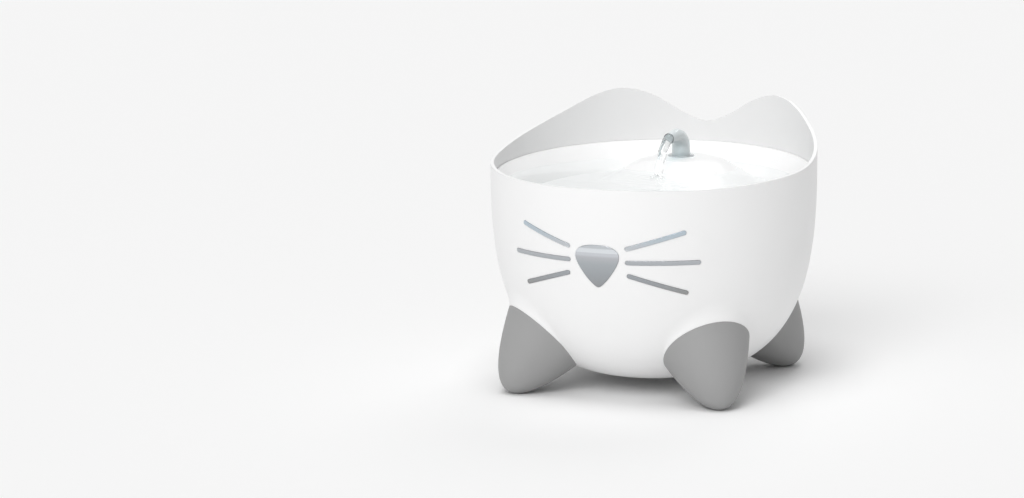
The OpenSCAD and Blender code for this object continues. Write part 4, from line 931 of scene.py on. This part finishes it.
def mound_top(x, y):
    """Height of the tray's mound"""
    depth = MOUND_Z - (TRAY_Z - BASIN_DEPTH + SPOUT_Y * math.sin(TRAY_TILT)) + 3
    u = min(max((math.hypot(x, y - SPOUT_Y) - 18.0) / 48.0, 0.0), 1.0)
    flank = MOUND_Z - depth * (u - 0.6 * math.sin(math.tau * u) / math.tau)
    front = MOUND_Z - (math.hypot(x, y - SPOUT_Y - 45.0) - 64.0) * 63 / 60 + 1
    return min(flank, front)


def pool_edge(turn):
    """Distance from the bowl's axis at which the basin's side meets the water"""
    low, high = 60.0, BASIN_R
    for _ in range(30):
        r = (low + high) / 2
        floor_z = TRAY_Z - r * math.cos(turn) * math.tan(TRAY_TILT) - basin_drop(r)
        if floor_z < WATER_Z:
            low = r
        else:
            high = r
    return low + 0.8


def lump(x, y, wide, deep, at_x, at_y):
    """Soft hill of height 1 around a place, wide along x and deep along y"""
    return math.exp(-((x - at_x) / wide) ** 2 - ((y - at_y) / deep) ** 2)


RING_HEIGHT, RING_PITCH, RING_FADE = 0.30, 6.5, 11.0
CHOP, FINE_CHOP, SWELL = 0.42, 0.12, 0.10       # heights of the uneven play


def ripple(x, y):
    """Height of the water's play: rings close to the stream, chop in front and at the right, a weak swell"""
    r = math.hypot(x - LANDING.x, y - LANDING.y)
    bend = 1.2 * noise.noise(Vector((x / 9.0, y / 9.0, 1.7)))
    height = RING_HEIGHT * math.exp(-r / RING_FADE) * math.sin(math.tau * (r + bend) / RING_PITCH - 1.0)
    busy = 0.55 * lump(x, y, 26, 20, -2, -12) + lump(x, y, 30, 22, 36, -22)
    busy += 0.35 * lump(x, y, 26, 16, -62, -30)
    height += CHOP * busy * noise.noise(Vector((x / 12.0, y / 7.0, 3.1)))
    height += FINE_CHOP * busy * noise.noise(Vector((x / 5.5, y / 3.4, 8.7)))
    height += SWELL * noise.noise(Vector((x / 24.0, y / 17.0, 5.2)))
    return height


POOL_TURNS, POOL_RINGS = 420, 110
points, faces = [], []
for i in range(POOL_RINGS + 1):
    for j in range(POOL_TURNS):
        turn = math.tau * j / POOL_TURNS
        r = pool_edge(turn) * i / POOL_RINGS if i else 0.05
        x, y = r * math.sin(turn), -r * math.cos(turn)
        calm = eased((pool_edge(turn) - r) / 6.0)
        points.append(Vector((x, y, WATER_Z + ripple(x, y) * calm)))
for i in range(POOL_RINGS):
    for j in range(POOL_TURNS):
        k = (j + 1) % POOL_TURNS
        low, high = i * POOL_TURNS, (i + 1) * POOL_TURNS
        quad = (low + j, low + k, high + k, high + j)
        if min(mound_top(points[q].x, points[q].y) for q in quad) < WATER_Z + 1.0:
            faces.append(quad)
pool = mesh_object("water_pool", [p * MM for p in points], faces, pool_water)
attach(pool, "dish")

# One body of water from the spout's foot through the bend and down to the pool
STREAM = [(30.0, 162.1), (27.2, 161.2), (24.0, 159.8), (20.9, 157.8), (18.4, 155.5), (16.2, 153.0),
          (14.3, 150.3), (12.6, 147.6), (11.0, 144.8), (9.6, 142.1), (8.5, 139.9), (8.0, 138.3)]
STREAM_R, STREAM_AROUND, STREAM_STEPS = 3.31, 32, 5
SPLASH_R = 2.6                                  # how far the stream spreads where it lands
TUBE_END_Y = 29.5                               # behind this the water stands in the tube
stream_path = path[1:-1]
stream_radii = [r + 0.06 for r in inner[1:-1]]
for i in range(len(STREAM) - 1):
    a, b, c, d = (Vector((0,) + STREAM[min(max(i + k, 0), len(STREAM) - 1)]) for k in (-1, 0, 1, 2))
    for k in range(STREAM_STEPS):
        t = k / STREAM_STEPS
        bend = 2 * a - 5 * b + 4 * c - d + t * (3 * (b - c) + d - a)
        stream_path.append(b + 0.5 * t * (c - a + t * bend))
        along = (i + t) / (len(STREAM) - 1)
        stream_radii.append(STREAM_R - 0.35 * eased(along * 1.6)
                            + 0.10 * math.sin(28 * along) * eased(along * 3)
                            + SPLASH_R * eased((along - 0.86) / 0.14) ** 2)
count = len(stream_path)
points = swept(stream_path, stream_radii, STREAM_AROUND)
points = [p + Vector((0.22 * math.sin(p.z * 0.8) if p.y < 24 else 0, 0, 0)) for p in points]
faces = ring_faces(count, STREAM_AROUND)
last = (count - 1) * STREAM_AROUND
faces += [tuple(reversed(range(STREAM_AROUND))), tuple(range(last, last + STREAM_AROUND))]
stream = outward(mesh_object("water_stream", [p * MM for p in points], faces, stream_water))
stream.data.materials.append(tube_water)
for face in stream.data.polygons:
    face.material_index = 1 if face.center.y > TUBE_END_Y * MM else 0
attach(stream, "spout_part")
